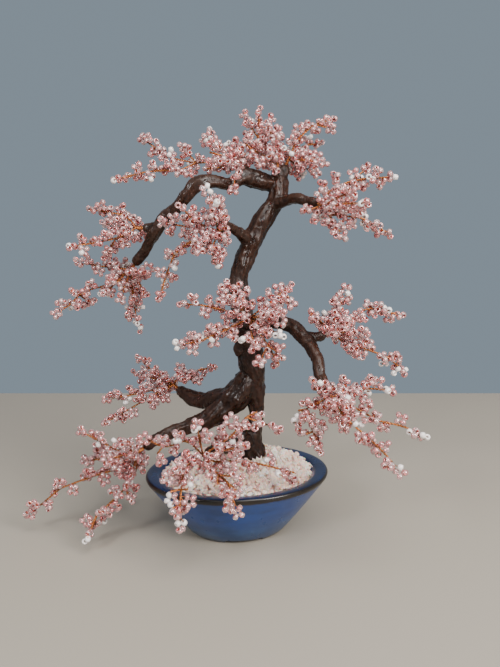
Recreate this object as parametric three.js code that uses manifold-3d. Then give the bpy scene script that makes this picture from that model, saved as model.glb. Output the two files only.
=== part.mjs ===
// Beaded wire cherry tree in a glazed oval pot, in millimetres, +Z up.
//
// The pot's long side lies along X. A plaster block fills the pot and grips the foot of the trunk,
// quartz chips hide the plaster, and the trunk and its boughs are one hard shell over an iron wire.
// Every bough ends in a blind hole that takes the twisted copper stem of one spray. A spray is a
// fan of copper twigs with a small ring of glass beads, a blossom, at each step of each twig.

import * as THREE from 'three';
import { mergeVertices } from 'three/addons/utils/BufferGeometryUtils.js';
import Module from 'manifold-3d';

const wasm = await Module();
wasm.setup();

// Driving dimensions

const footprintShift = [11.5, 2, 0]; // puts the middle of the whole tree's outline over the origin

const potHalfLength = 40;
const potHeight = 26.4;
const ovalRatio = 0.79; // half width over half length of every level of the pot
const footHeight = 1.6;
const footGapHalfLength = 8; // half of the gap between the feet on the long sides
const footGapHalfWidth = 5;
const potSegments = 32;

const seatGap = 0.3; // between parts that touch

const plasterFloor = 4.8;
const plasterTop = 20.7;
const trunkWellRadius = 8.2; // well for the foot of the trunk in the plaster and in the chips

const chipsUnderside = 21;
const chipsEdge = 25.7; // height of the chips at the pot's lip
const chipsRise = 7.4; // how much higher they lie at the trunk
const chipsHalfLength = 32.6;
const chipSize = 3; // grain of the heap's surface
const chipRelief = 0.55;

const socketRadius = 1.2;
const socketDepth = 5;
const stemRadius = 0.75;
const hubReach = 2.8; // from the bough's end to the point where the twigs part
const hubRadius = 1.3;

const wireRadius = 0.5;
const bareTwig = 5; // length of twig next to the hub that carries no blossom
const bareSideTwig = 2.6;
const blossomPitch = 5; // along the twig
const blossomRadius = 2.7; // to the tips of its petals
const notchRadius = 1.7; // to the notches between them
const blossomHalfThickness = 1.1;
const blossomReach = 2.8; // from the twig to the blossom's middle
const petals = 4; // the root lies between two of them
const leastLean = 0.7; // of a blossom away from its twig: 0 lies along it, and 1 stands square to it
const leanSpread = 0.28;
const rollSpread = 1.5; // radians that a blossom's plane may turn about its root
const blossomGap = 0.4; // between a blossom and anything that isn't its own spray
const crowding = 4.7; // least distance between the middles of one spray's blossoms
const potMargin = 3; // round the pot's lip, within which a blossom keeps above it

// The trunk and the boughs: [x, y, z, radius] along each, from its root

const limbs = {
  trunk: [
    [5.5, 1, 8, 6.8], [5.5, 1, 21.5, 7], [5.3, 1, 33, 6.9], [5.6, 1, 39.5, 5.2], [7.6, 0.5, 46, 3.5],
    [8.5, 1.2, 52.5, 3.4], [7.8, 1.5, 60, 4.9], [6.9, 2, 69.5, 5.5], [6, 2, 79, 6], [4.5, 2, 86.5, 5.8],
    [3.4, 4.5, 93.5, 4.6], [1.4, 5.5, 102, 3.9], [2, 7.5, 111, 3.9], [6.3, 9, 121.5, 4.5], [11.2, 10, 131, 4.1],
    [15.8, 11, 138, 4.1], [20, 12.5, 144.5, 3.9], [21, 14.5, 150, 3.5], [21, 16.5, 156, 2.6],
  ],
  knob: [[4, 2, 79, 5], [0.6, 1.5, 80.5, 4.4], [-1.2, 1.2, 81, 2.6]],
  arch: [
    [20.5, 14.5, 149, 3.6], [13, 14, 151, 3.8], [5, 11, 152, 3.2], [-2, 9, 149, 2.7], [-9, 7, 150, 2.6],
    [-15, 6, 149, 2.7], [-19, 7, 145, 2.6], [-24, 10, 139, 2.5], [-29, 14, 135, 2.5], [-33, 16, 129, 2.4],
    [-36, 20, 123, 2.3], [-42, 24, 115, 2.1],
  ],
  archStub: [[6, 11, 151, 2.4], [6, 12, 154, 2.1], [5, 13, 157, 2.0]],
  topStub: [[20, 14, 150, 2.8], [23, 15, 155, 2.2], [24.5, 16, 158, 2.0]],
  leftStub: [[-31, 15, 131, 2.2], [-35, 18, 131, 2.0], [-38, 19, 131, 1.9]],
  upperRight: [
    [18, 11, 140.5, 3.0], [21, 6, 141.8, 2.4], [25, -1, 142.9, 2.2], [29, -6, 141.4, 2.1], [31.5, -10, 140.6, 2.0],
  ],
  upperLeft: [[7, 9, 125, 3.0], [1.5, 4.5, 129, 2.2], [-3, 1, 131, 2.0], [-7, -4, 130, 2.0]],
  right: [
    [5, 2, 90, 3.8], [10, -6, 92, 2.9], [14, -12, 93, 2.7], [19, -16, 92, 2.6], [22, -20, 89, 2.7],
    [25, -25, 85, 2.6], [26, -30, 81, 2.4], [26, -35, 75, 2.3], [27, -40, 71, 2.0],
  ],
  rightStub: [[22, -20, 88, 2.4], [28, -22, 88, 2.1], [32, -22, 89, 2.0]],
  centreStub: [[4, 1, 90, 3.0], [3, -9, 93, 2.3], [2, -16, 95, 2.0]],
  midLeft: [
    [3, 2.5, 62, 4.2], [-3.5, 5.5, 58, 4.2], [-8.5, 12, 55, 4.1], [-13.5, 18, 53, 3.8],
    [-18.5, 24, 53.5, 3.1], [-23.5, 30, 56.5, 2.2],
  ],
  lowerLeft: [
    [6, 2, 70, 4.8], [2.5, 1.5, 62.5, 5.6], [-3, 2.5, 55.8, 5.4], [-9, 2.5, 51.3, 4.7], [-14.5, 3, 48.1, 3.9],
    [-21, 3, 46, 3], [-28, 2.5, 44.2, 2.7], [-35, 1.5, 41.8, 2.4], [-40.5, 0.5, 38.5, 2.1],
  ],
  front: [[5, 0, 39.5, 3.6], [-1, -8, 40.5, 2.9], [-9.5, -18.5, 43.5, 2.4], [-17, -29.5, 45.5, 2]],
};

const limbSides = { trunk: 9, arch: 7, lowerLeft: 7 };
const boughSides = 6;
const ridgeAllowance = 1.09; // a limb's largest radius over its plain radius

// The sprays: the bough that each grows from, a seed, and its twigs as the maker bent them. A twig
// that starts with 'hub' leaves the spray's hub, and the others leave a point of an earlier twig.

const sprays = {
  crown_left: {
    bough: 'archStub', seed: 11,
    twigs: [
      ['hub', [-5, 18, 159], [-15, 23, 159], [-25, 31, 162], [-30, 36, 166], [-36.5, 43, 171.5]],
      [[-15, 23, 159], [-20, 21, 156], [-35, 23, 155], [-48.5, 24, 151.5]],
      ['hub', [0, 4, 152], [-1, 2, 146]],
      ['hub', [-8, 8, 155], [-14, 6, 155]],
      [[-15, 23, 159], [-20, 30, 167]],
      ['hub', [-1, 23, 165], [-8, 30, 169], [-6, 34, 175]],
      ['hub', [-1, 16, 167]],
      ['hub', [6, 8, 163]],
      ['hub', [-12, 14, 163]],
      ['hub', [8, 39, 164]],
    ],
  },
  crown_top: {
    bough: 'trunk', seed: 23,
    twigs: [
      ['hub', [13, 20, 169], [13, 19, 176], [13, 18, 181]],
      [[13, 20, 169], [8, 26, 180]],
      ['hub', [18, 13, 168], [15, 9, 173]],
      ['hub', [12, 4, 159]],
      ['hub', [13, 42, 169]],
      ['hub', [26, 44, 168]],
      ['hub', [8, 15, 165], [3, 12, 169]],
      ['hub', [24, 26, 172]],
      [[13, 20, 169], [19, 22, 178]],
    ],
  },
  crown_right: {
    bough: 'topStub', seed: 37,
    twigs: [
      ['hub', [29, 17, 168], [36, 16, 175], [45, 16, 178]],
      [[36, 16, 175], [43, 10, 173]],
      ['hub', [33, 22, 167], [42, 25, 169]],
      ['hub', [30, 11, 160], [39, 6, 158]],
      ['hub', [33, 18, 157], [39, 20, 156]],
      ['hub', [37, 40, 163]],
    ],
  },
  upper_right: {
    bough: 'upperRight', seed: 41,
    twigs: [
      ['hub', [36, -11, 146], [47, -10, 150], [63.5, -9, 151.5]],
      [[47, -10, 150], [54, -4, 155]],
      ['hub', [35, -15, 135], [40, -18, 127]],
      [[35, -15, 135], [46, -15, 135], [53, -14, 133], [61.5, -12, 128]],
      ['hub', [39, -21, 140], [45, -26, 140]],
      ['hub', [25, -17, 137]],
      ['hub', [39, -26, 144]],
      ['hub', [47, 9, 142]],
      ['hub', [40, 7, 138]],
    ],
  },
  upper_left: {
    bough: 'upperLeft', seed: 53,
    twigs: [
      ['hub', [-11, -10, 138], [-14, -12, 145]],
      ['hub', [-10, -20, 140]],
      ['hub', [-7.5, -14, 135]],
      ['hub', [-18, -10, 133], [-24, -11, 139]],
      ['hub', [-20, -4, 131], [-30, 1, 133]],
      ['hub', [-8.5, -18, 128]],
      ['hub', [-12, -13, 122], [-12, -15, 115]],
      [[-12, -13, 122], [-8, -18, 123]],
      ['hub', [-21, -6, 125], [-26, -3, 120], [-29, -1, 113], [-32, 2, 103]],
      ['hub', [-18, -19, 122]],
    ],
  },
  left_second: {
    bough: 'leftStub', seed: 67,
    twigs: [
      ['hub', [-41, 21, 133], [-48, 25, 137], [-59.5, 31, 139]],
      ['hub', [-43, 18, 129], [-51, 18, 126], [-68, 19, 123]],
      [[-51, 18, 126], [-54, 23, 119]],
      ['hub', [-48, 36, 132], [-55, 43, 133]],
      ['hub', [-37, 32, 128], [-29, 33, 125]],
    ],
  },
  left_end: {
    bough: 'arch', seed: 71,
    twigs: [
      ['hub', [-56, 29, 114], [-66.5, 33, 116]],
      ['hub', [-54, 27, 106], [-65, 28, 103], [-72, 28, 96], [-77, 28, 94]],
      [[-65, 28, 103], [-62, 33, 97]],
      ['hub', [-55, 19, 103]],
      ['hub', [-48, 19, 101]],
      ['hub', [-38, 15, 112]],
      ['hub', [-38, 22, 103]],
      ['hub', [-43, 28, 102], [-42, 28, 91], [-40, 29, 85]],
      [[-43, 28, 102], [-45, 23, 94]],
      [[-43, 28, 102], [-38, 32, 96]],
      ['hub', [-51, 44, 112]],
      ['hub', [-43, 43, 104]],
    ],
  },
  centre: {
    bough: 'centreStub', seed: 83,
    twigs: [
      ['hub', [-5, -20, 103], [-12, -21, 107]],
      ['hub', [-2, -17, 102], [-6, -15, 108]],
      ['hub', [-8, -17, 99], [-17, -15, 101], [-23.5, -11, 101]],
      ['hub', [-8, -22, 92], [-18, -22, 88], [-26, -20, 86.5]],
      [[-8, -22, 92], [-16, -17, 92]],
      ['hub', [10, -22, 103], [17, -23, 108.5]],
      [[10, -22, 103], [17, -29, 105]],
      ['hub', [11, -33, 100]],
      ['hub', [11, -31, 91]],
      ['hub', [7, -27, 87], [13, -27, 76]],
      [[7, -27, 87], [12, -32, 83]],
      ['hub', [1, -32, 87]],
      [[7, -27, 87], [3, -32, 81]],
    ],
  },
  right_mid: {
    bough: 'rightStub', seed: 97,
    twigs: [
      ['hub', [36, -23, 97], [39, -24, 107]],
      [[36, -23, 97], [32, -27, 102]],
      ['hub', [26, -26, 97]],
      ['hub', [45, -23, 98], [51, -22, 99], [64.8, -19, 95.5]],
      [[51, -22, 99], [57, -25, 101]],
      ['hub', [37, -24, 87], [45, -24, 84], [58, -22, 79], [67, -19, 72]],
      ['hub', [44, -31, 91]],
      ['hub', [34, -39, 95]],
      ['hub', [50, -1, 88]],
      ['hub', [41, -2, 93]],
    ],
  },
  right_low: {
    bough: 'right', seed: 101,
    twigs: [
      ['hub', [33, -43, 71], [40, -43, 72], [50, -44, 71]],
      ['hub', [37, -46, 65], [44, -48, 61], [53, -51, 59], [60, -54, 55.5]],
      ['hub', [32, -49, 62], [39, -52, 56], [44, -55, 51], [48.5, -59, 45]],
      ['hub', [19, -44, 74]],
      ['hub', [18, -41, 64], [21, -42, 57], [24, -42, 49]],
      [[18, -41, 64], [13, -41, 64]],
      [[21, -42, 57], [16, -46, 56]],
      [[21, -42, 57], [28, -39, 55]],
      [[18, -41, 64], [21, -49, 63]],
      ['hub', [27, -60, 71]],
      ['hub', [40, -26, 64]],
      ['hub', [32, -26, 61]],
    ],
  },
  mid_left: {
    bough: 'midLeft', seed: 113,
    twigs: [
      ['hub', [-34, 36, 63], [-42, 39.5, 70]],
      ['hub', [-22, 32, 63], [-7, 29, 66]],
      ['hub', [-24, 27, 62], [-15, 21, 62]],
      ['hub', [-43, 32, 54], [-57, 33, 52]],
      ['hub', [-35, 29, 54], [-50, 28, 46], [-57.5, 27, 42.5]],
      [[-50, 28, 46], [-46, 21, 47]],
      ['hub', [-35, 21, 54]],
      ['hub', [-43, 46, 61]],
      ['hub', [-28, 56, 53]],
      ['hub', [-37, 54, 51]],
    ],
  },
  lower_left: {
    bough: 'lowerLeft', seed: 127,
    twigs: [
      ['hub', [-49, 3, 36], [-57, 8, 39], [-66.5, 12, 43.5]],
      ['hub', [-54, 10, 32], [-65.5, 18, 28]],
      ['hub', [-49, 1, 30], [-57, 3, 28], [-68, 5, 24], [-76, 6, 21], [-89.3, 9, 9.3]],
      ['hub', [-47, -4, 25], [-54, -7, 19], [-60, -9, 15], [-63.5, -12.5, 8]],
      ['hub', [-44, -6, 29]],
      [[-47, -4, 25], [-47, -11, 22]],
      [[-60, -9, 15], [-63, -5, 6]],
      ['hub', [-47, -11, 45]],
      ['hub', [-55, -8, 38]],
      ['hub', [-50, 24, 30]],
      ['hub', [-61, 28, 27]],
    ],
  },
  front: {
    bough: 'front', seed: 131,
    twigs: [
      ['hub', [-8, -33, 53], [-3, -36, 61], [3, -39, 65]],
      [[-3, -36, 61], [6, -43, 59]],
      ['hub', [-6, -44, 53]],
      ['hub', [-24, -28, 51], [-32, -24, 47], [-40, -21, 50]],
      [[-32, -24, 47], [-37, -22, 42]],
      ['hub', [-21, -34, 58]],
      ['hub', [-14, -32, 43], [-5, -32, 43], [5, -31, 40], [20, -31, 35]],
      ['hub', [-26, -34, 41], [-27, -36, 37], [-28, -37, 31], [-28, -40, 22]],
      [[-27, -36, 37], [-24, -42, 37]],
      [[-27, -36, 37], [-34, -36, 34]],
      [[-28, -37, 31], [-33, -42, 29]],
      [[-28, -37, 31], [-23, -36, 27]],
      ['hub', [-15, -36, 41], [-10, -39, 37], [-9, -40, 32], [-7, -42, 26.5]],
      [[-10, -39, 37], [-5, -46, 34]],
      [[-15, -36, 41], [-8, -45, 42]],
      [[-15, -36, 41], [-15, -44, 37]],
      ['hub', [-32, -41, 42]],
    ],
  },
};

// Finishes

const finish = (color, roughness) => new THREE.MeshStandardMaterial({ color, roughness, metalness: 0 });
const blueGlaze = finish('#2f5fa0', 0.2);
const plaster = finish('#d8d2c6', 0.9);
const quartz = finish('#d9c8c2', 0.55);
const bark = finish('#44302a', 0.35);
const pinkGlass = finish('#dd9c98', 0.2);

// Solids

const vector = (p) => new THREE.Vector3(p[0], p[1], p[2]);

function geometryFrom(vertices, triangles) {
  const geometry = new THREE.BufferGeometry();
  const numbers = vertices.flatMap((v) => [v.x, v.y, v.z]);
  geometry.setAttribute('position', new THREE.Float32BufferAttribute(numbers, 3));
  geometry.setIndex(triangles.flat());
  return geometry;
}

function toSolid(geometry) {
  const bare = geometry.clone();
  bare.deleteAttribute('normal');
  bare.deleteAttribute('uv');
  const merged = mergeVertices(bare, 1e-4);
  return new wasm.Manifold(new wasm.Mesh({
    numProp: 3,
    vertProperties: new Float32Array(merged.attributes.position.array),
    triVerts: new Uint32Array(merged.index.array),
  }));
}

function toGeometry(solid) {
  const mesh = solid.getMesh();
  const geometry = new THREE.BufferGeometry();
  geometry.setAttribute('position', new THREE.BufferAttribute(new Float32Array(mesh.vertProperties), 3));
  geometry.setIndex(new THREE.BufferAttribute(new Uint32Array(mesh.triVerts), 1));
  return geometry;
}

const joined = (solids) => solids.reduce((whole, next) => whole.add(next));

// A closed solid through a stack of rings, all with the same number of points, counter-clockwise
// seen from beyond the last ring. Its ends are closed on the points given, or on the rings' middles.
function stack(rings, firstPoint, lastPoint) {
  const n = rings[0].length;
  const middle = (ring) => ring.reduce((sum, p) => sum.add(p), new THREE.Vector3()).divideScalar(n);
  const vertices = [...rings.flat(), firstPoint ?? middle(rings[0]), lastPoint ?? middle(rings.at(-1))];
  const triangles = [];
  for (let r = 0; r + 1 < rings.length; r++) {
    for (let i = 0; i < n; i++) {
      const [a, b] = [r * n + i, r * n + (i + 1) % n];
      triangles.push([a, b, b + n], [a, b + n, a + n]);
    }
  }
  const last = (rings.length - 1) * n;
  for (let i = 0; i < n; i++) {
    triangles.push([(i + 1) % n, i, vertices.length - 2]);
    triangles.push([last + i, last + (i + 1) % n, vertices.length - 1]);
  }
  return geometryFrom(vertices, triangles);
}

const ovalRing = (halfLength, height, count, phase = 0) => Array.from({ length: count }, (_, i) => {
  const angle = (i + phase) / count * 2 * Math.PI;
  return new THREE.Vector3(halfLength * Math.cos(angle), ovalRatio * halfLength * Math.sin(angle), height);
});

// A box that cuts a gap between two feet, right across the pot's underside
const footGap = (length, width) => toSolid(new THREE.BoxGeometry(length, width, 2 * footHeight));

// A straight prism from one point to another
function rod(start, end, radius, sides) {
  const axis = end.clone().sub(start);
  const length = axis.length();
  const turn = new THREE.Quaternion().setFromUnitVectors(new THREE.Vector3(0, 1, 0), axis.normalize());
  const shape = new THREE.CylinderGeometry(radius, radius, length, sides, 1).translate(0, length / 2, 0);
  return toSolid(shape.applyQuaternion(turn).translate(start.x, start.y, start.z));
}

// Park and Miller's generator, the same in any language
function seeded(seed) {
  let state = seed;
  return () => (state = state * 16807 % 2147483647) / 2147483647;
}

// The pot: a cast oval bowl with a flat lip and four low feet

function makePot() {
  const [halfLength, height] = [potHalfLength, potHeight];
  const outside = [
    [20.6, 0], [22, 1.4], [24.6, 4.6], [31.4, 13.3], [37.4, 21.4], [39.7, 24.6],
    [halfLength, 25.6], [halfLength - 0.7, height],
  ];
  const inside = [[34.1, height - 0.2], [33.2, 25.2], [24, 11], [19.5, 4.4]];
  const rings = [...outside, ...inside].map(([reach, z]) => ovalRing(reach, z, potSegments));
  const bowl = toSolid(stack(rings, new THREE.Vector3(0, 0, 0), new THREE.Vector3(0, 0, 4)));
  const recess = toSolid(stack([ovalRing(16, -1, 24), ovalRing(15, footHeight, 24)]));
  const lengthwise = footGap(2 * halfLength, 2 * footGapHalfWidth);
  const crosswise = footGap(2 * footGapHalfLength, 2 * halfLength);
  return toGeometry(bowl.subtract(recess).subtract(lengthwise).subtract(crosswise));
}

// The well for the foot of the trunk, which stands off the pot's middle
function trunkWell(bottom, top) {
  const [x, y] = limbs.trunk[0];
  const sides = 14;
  return rod(new THREE.Vector3(x, y, bottom), new THREE.Vector3(x, y, top), trunkWellRadius, sides);
}

function makePlaster() {
  const rings = [[19.2, plasterFloor], [23.4, 11], [29.6, plasterTop]]
    .map(([reach, z]) => ovalRing(reach, z, potSegments));
  return toGeometry(toSolid(stack(rings)).subtract(trunkWell(limbs.trunk[0][2] - seatGap, plasterTop + 1)));
}

// Height of the heap of chips, which climbs steeply at the lip and levels off towards the trunk
function heapHeight(x, y) {
  const reach = Math.hypot(x / chipsHalfLength, y / (ovalRatio * chipsHalfLength));
  return chipsEdge + chipsRise * (1 - Math.min(reach, 1) ** 4);
}

function makeChips() {
  const random = seeded(7);
  const side = ovalRing(30.1, chipsUnderside, potSegments);
  const edge = ovalRing(chipsHalfLength, chipsEdge - chipRelief, potSegments);
  const rings = [side, edge];
  for (let reach = chipsHalfLength - chipRelief; reach > trunkWellRadius - 1; reach -= 1.5 * chipSize) {
    rings.push(ovalRing(reach, 0, potSegments, (rings.length % 2) / 2).map((p) => {
      const turn = random() * 2 * Math.PI;
      const x = p.x + chipRelief * Math.cos(turn);
      const y = p.y + chipRelief * Math.sin(turn);
      return new THREE.Vector3(x, y, heapHeight(x, y) + chipRelief * (2 * random() - 1));
    }));
  }
  return toGeometry(toSolid(stack(rings)).subtract(trunkWell(chipsUnderside - 1, chipsEdge + 2 * chipsRise)));
}

// The trunk and boughs: hard modelled bark, ridged lengthwise

function limbSolid(name) {
  const points = limbs[name];
  const sides = limbSides[name] ?? boughSides;
  const route = new THREE.CatmullRomCurve3(points.map(vector));
  const steps = points.length - 1;
  const frames = route.computeFrenetFrames(steps);
  const rings = [];
  for (let s = 0; s <= steps; s++) {
    const centre = route.getPointAt(s / steps);
    const along = route.getUtoTmapping(s / steps) * steps;
    const from = Math.min(Math.floor(along), steps - 1);
    const radius = THREE.MathUtils.lerp(points[from][3], points[from + 1][3], along - from);
    rings.push(Array.from({ length: sides }, (_, i) => {
      const angle = i / sides * 2 * Math.PI;
      const ridge = 1 + 0.05 * Math.sin(3 * angle + 0.5 * s) + 0.04 * Math.sin(5 * angle - 0.9 * s);
      return centre.clone()
        .addScaledVector(frames.normals[s], radius * ridge * Math.cos(angle))
        .addScaledVector(frames.binormals[s], radius * ridge * Math.sin(angle));
    }));
  }
  return toSolid(stack(rings));
}

// The last point of a bough and the way it points there
function boughEnd(name) {
  const [before, end] = limbs[name].slice(-2).map(vector);
  return { end, outward: end.clone().sub(before).normalize() };
}

function makeTrunk() {
  const wood = joined(Object.keys(limbs).map(limbSolid));
  const sockets = Object.values(sprays).map(({ bough }) => {
    const { end, outward } = boughEnd(bough);
    const bottom = end.clone().addScaledVector(outward, -socketDepth);
    return rod(bottom, end.clone().addScaledVector(outward, hubReach), socketRadius, 6);
  });
  return toGeometry(wood.subtract(joined(sockets)));
}

// Twigs

function hubOf(bough) {
  const { end, outward } = boughEnd(bough);
  return end.addScaledVector(outward, hubReach);
}

// Stations along a twig: its start, the end of its bare stretch, and then one for each blossom. The
// last blossom's middle falls on the twig's last point.
function stationsOf(points, bareLength) {
  const lengths = points.slice(1).map((p, i) => p.distanceTo(points[i]));
  const whole = lengths.reduce((sum, l) => sum + l, 0) - blossomReach;
  const bare = Math.min(bareLength, whole / 2);
  const count = Math.max(1, Math.round((whole - bare) / blossomPitch));
  const stops = [0, ...Array.from({ length: count + 1 }, (_, i) => bare + (whole - bare) * i / count)];
  return stops.map((stop) => {
    let [leg, left] = [0, stop];
    while (leg < lengths.length - 1 && left > lengths[leg]) {
      left -= lengths[leg];
      leg += 1;
    }
    return points[leg].clone().lerp(points[leg + 1], Math.min(1, left / lengths[leg]));
  });
}

// Forward direction and two cross directions at each station, carried along without twist
function framesOf(stations) {
  let normal = null;
  return stations.map((_, i) => {
    const before = stations[Math.max(0, i - 1)];
    const after = stations[Math.min(stations.length - 1, i + 1)];
    const forward = after.clone().sub(before).normalize();
    if (normal === null) {
      const steep = Math.abs(forward.z) > 0.9;
      normal = new THREE.Vector3(0, 0, 1).cross(forward);
      if (steep) {
        normal = new THREE.Vector3(1, 0, 0).cross(forward);
      }
    }
    normal = normal.clone().addScaledVector(forward, -normal.dot(forward)).normalize();
    return { forward, normal, side: forward.clone().cross(normal) };
  });
}

// A side twig starts at the station of an earlier twig that lies nearest to its given start
function layTwigs(name) {
  const { bough, twigs } = sprays[name];
  const laid = [];
  for (const [start, ...others] of twigs) {
    const fromHub = start === 'hub';
    const stops = laid.flatMap((twig) => twig.stations);
    const root = fromHub ? hubOf(bough) : stops.reduce((best, stop) =>
      (stop.distanceTo(vector(start)) < best.distanceTo(vector(start)) ? stop : best));
    const stations = stationsOf([root, ...others.map(vector)], fromHub ? bareTwig : bareSideTwig);
    laid.push({ spray: name, stations, frames: framesOf(stations) });
  }
  return laid;
}

const allTwigs = Object.keys(sprays).flatMap(layTwigs);

// Room for the blossoms: each keeps clear of the wood, the pot, the chips, the ground, the other
// sprays' wires and the other blossoms

const standing = []; // the blossoms placed so far

function distanceToLeg(p, a, b) {
  const leg = b.clone().sub(a);
  const share = THREE.MathUtils.clamp(p.clone().sub(a).dot(leg) / leg.lengthSq(), 0, 1);
  return p.distanceTo(a.clone().addScaledVector(leg, share));
}

function clearOfWood(p) {
  return Object.values(limbs).every((points) => points.slice(1).every((end, i) => {
    const radius = ridgeAllowance * Math.max(end[3], points[i][3]);
    return distanceToLeg(p, vector(points[i]), vector(end)) > radius + blossomRadius + blossomGap;
  }));
}

function clearOfPot(p) {
  if (p.z < blossomRadius + blossomGap) return false;
  const [reachX, reachY] = [potHalfLength + potMargin, ovalRatio * potHalfLength + potMargin];
  const overPot = Math.hypot(p.x / reachX, p.y / reachY) < 1;
  if (!overPot) return true;
  return p.z > Math.max(potHeight, heapHeight(p.x, p.y) + chipRelief) + blossomRadius + blossomGap;
}

function clearOfOthers(p, spray) {
  const apart = (other) => (other.spray === spray ? crowding : 2 * blossomRadius + blossomGap);
  if (standing.some((other) => p.distanceTo(other.centre) < apart(other))) return false;
  return allTwigs.every((twig) => twig.spray === spray || twig.stations.slice(1).every((end, i) =>
    distanceToLeg(p, twig.stations[i], end) > blossomRadius + wireRadius + blossomGap));
}

const hasRoom = (p, spray) => clearOfWood(p) && clearOfPot(p) && clearOfOthers(p, spray);

// A blossom's own directions: out from its root, across its face, and along its plane
function blossomAt(root, outward, plane) {
  const along = plane.clone().addScaledVector(outward, -plane.dot(outward)).normalize();
  const centre = root.clone().addScaledVector(outward, blossomReach);
  return { centre, outward, along, face: along.clone().cross(outward) };
}

// Blossoms for one twig. For each step the three sides of the wire are tried in turn.
function placeBlossoms(twig, random) {
  const { stations, frames, spray } = twig;
  const firstSide = Math.floor(random() * 3);
  const blossoms = [];
  for (let i = 1; i + 1 < stations.length; i++) {
    const lean = (leastLean + leanSpread * random()) * Math.PI / 2;
    const roll = rollSpread * (random() - 0.5);
    const { forward, normal, side } = frames[i];
    const root = stations[i].clone().lerp(stations[i + 1], 0.5);
    for (let attempt = 0; attempt < 3; attempt++) {
      const wireSide = (firstSide + i + attempt) % 3;
      const angle = (wireSide + 0.5) / 3 * 2 * Math.PI;
      const radial = normal.clone().multiplyScalar(Math.cos(angle)).addScaledVector(side, Math.sin(angle));
      const outward = radial.clone().multiplyScalar(Math.sin(lean))
        .addScaledVector(forward, Math.cos(lean));
      const across = forward.clone().cross(radial);
      const plane = forward.clone().multiplyScalar(Math.cos(roll)).addScaledVector(across, Math.sin(roll));
      const blossom = { ...blossomAt(root, outward.normalize(), plane), spray, station: i, wireSide };
      if (hasRoom(blossom.centre, spray)) {
        blossoms.push(blossom);
        standing.push(blossom);
        break;
      }
    }
  }
  const { forward, normal, side } = frames.at(-1);
  const roll = 2 * Math.PI * random();
  const plane = normal.clone().multiplyScalar(Math.cos(roll)).addScaledVector(side, Math.sin(roll));
  const tip = { ...blossomAt(stations.at(-1), forward.clone(), plane), spray, station: 'tip' };
  if (hasRoom(tip.centre, spray)) {
    blossoms.push(tip);
    standing.push(tip);
  }
  return blossoms;
}

const turned = (list, start) => list.map((_, k) => list[(start + k) % list.length]);

// The two loops of vertices, each started where a skin between them has the least twist
function leastTwist(vertices, hole, mouth) {
  const choices = hole.flatMap((_, h) => mouth.map((__, m) => [turned(hole, h), turned(mouth, m)]));
  const apart = ([a, b]) => a.reduce((sum, v, k) => sum + vertices[v].distanceToSquared(vertices[b[k]]), 0);
  return choices.reduce((best, next) => (apart(next) < apart(best) ? next : best));
}

// Adds a blossom's petals to a mesh, rooted in a hole whose edge is given counter-clockwise
function graft(vertices, triangles, hole, blossom) {
  const { centre, outward, along, face } = blossom;
  const rim = [];
  for (let k = 1; k < 2 * petals; k++) {
    const angle = k / (2 * petals) * 2 * Math.PI;
    const reach = k % 2 === 0 ? notchRadius : blossomRadius;
    rim.push(vertices.length);
    vertices.push(centre.clone()
      .addScaledVector(outward, -reach * Math.cos(angle))
      .addScaledVector(along, -reach * Math.sin(angle)));
  }
  const top = vertices.push(centre.clone().addScaledVector(face, blossomHalfThickness)) - 1;
  const bottom = vertices.push(centre.clone().addScaledVector(face, -blossomHalfThickness)) - 1;
  for (let k = 0; k + 1 < rim.length; k++) {
    triangles.push([rim[k], top, rim[k + 1]], [rim[k + 1], bottom, rim[k]]);
  }
  const [edge, mouth] = leastTwist(vertices, hole, [rim[0], top, rim.at(-1), bottom]);
  for (let k = 0; k < 4; k++) {
    const [a, b] = [edge[k % edge.length], edge[(k + 1) % edge.length]];
    if (k < edge.length) {
      triangles.push([a, b, mouth[k]], [mouth[k], b, mouth[(k + 1) % 4]]);
    } else {
      triangles.push([mouth[k], a, mouth[0]]);
    }
  }
}

// One twig as a closed mesh: a three-sided wire with its blossoms growing from its sides
function twigSolid(twig, blossoms) {
  const { stations, frames } = twig;
  const vertices = stations.flatMap((p, i) => [0, 1, 2].map((k) => {
    const angle = k / 3 * 2 * Math.PI;
    return p.clone()
      .addScaledVector(frames[i].normal, wireRadius * Math.cos(angle))
      .addScaledVector(frames[i].side, wireRadius * Math.sin(angle));
  }));
  const triangles = [[2, 1, 0]];
  for (let i = 0; i + 1 < stations.length; i++) {
    for (let k = 0; k < 3; k++) {
      const [a, b] = [3 * i + k, 3 * i + (k + 1) % 3];
      const quad = [a, b, b + 3, a + 3];
      const blossom = blossoms.find((one) => one.station === i && one.wireSide === k);
      if (blossom) {
        graft(vertices, triangles, quad, blossom);
      } else {
        triangles.push([a, b, b + 3], [a, b + 3, a + 3]);
      }
    }
  }
  const end = 3 * (stations.length - 1);
  const tip = blossoms.find((one) => one.station === 'tip');
  if (tip) {
    graft(vertices, triangles, [end, end + 1, end + 2], tip);
  } else {
    triangles.push([end, end + 1, end + 2]);
  }
  return toSolid(geometryFrom(vertices, triangles));
}

function makeSpray(name) {
  const { bough, seed } = sprays[name];
  const random = seeded(seed);
  const { end, outward } = boughEnd(bough);
  const hub = hubOf(bough);
  const stem = rod(end.clone().addScaledVector(outward, seatGap - socketDepth), hub, stemRadius, 3);
  const knot = toSolid(new THREE.OctahedronGeometry(hubRadius).translate(hub.x, hub.y, hub.z));
  const twigs = allTwigs.filter((twig) => twig.spray === name)
    .map((twig) => twigSolid(twig, placeBlossoms(twig, random)));
  return toGeometry(joined([stem, knot, ...twigs]));
}

// The assembly

const tree = new THREE.Group();
tree.position.set(...footprintShift);

function addPart(name, geometry, material) {
  const mesh = new THREE.Mesh(geometry, material);
  mesh.name = name;
  tree.add(mesh);
}

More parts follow.
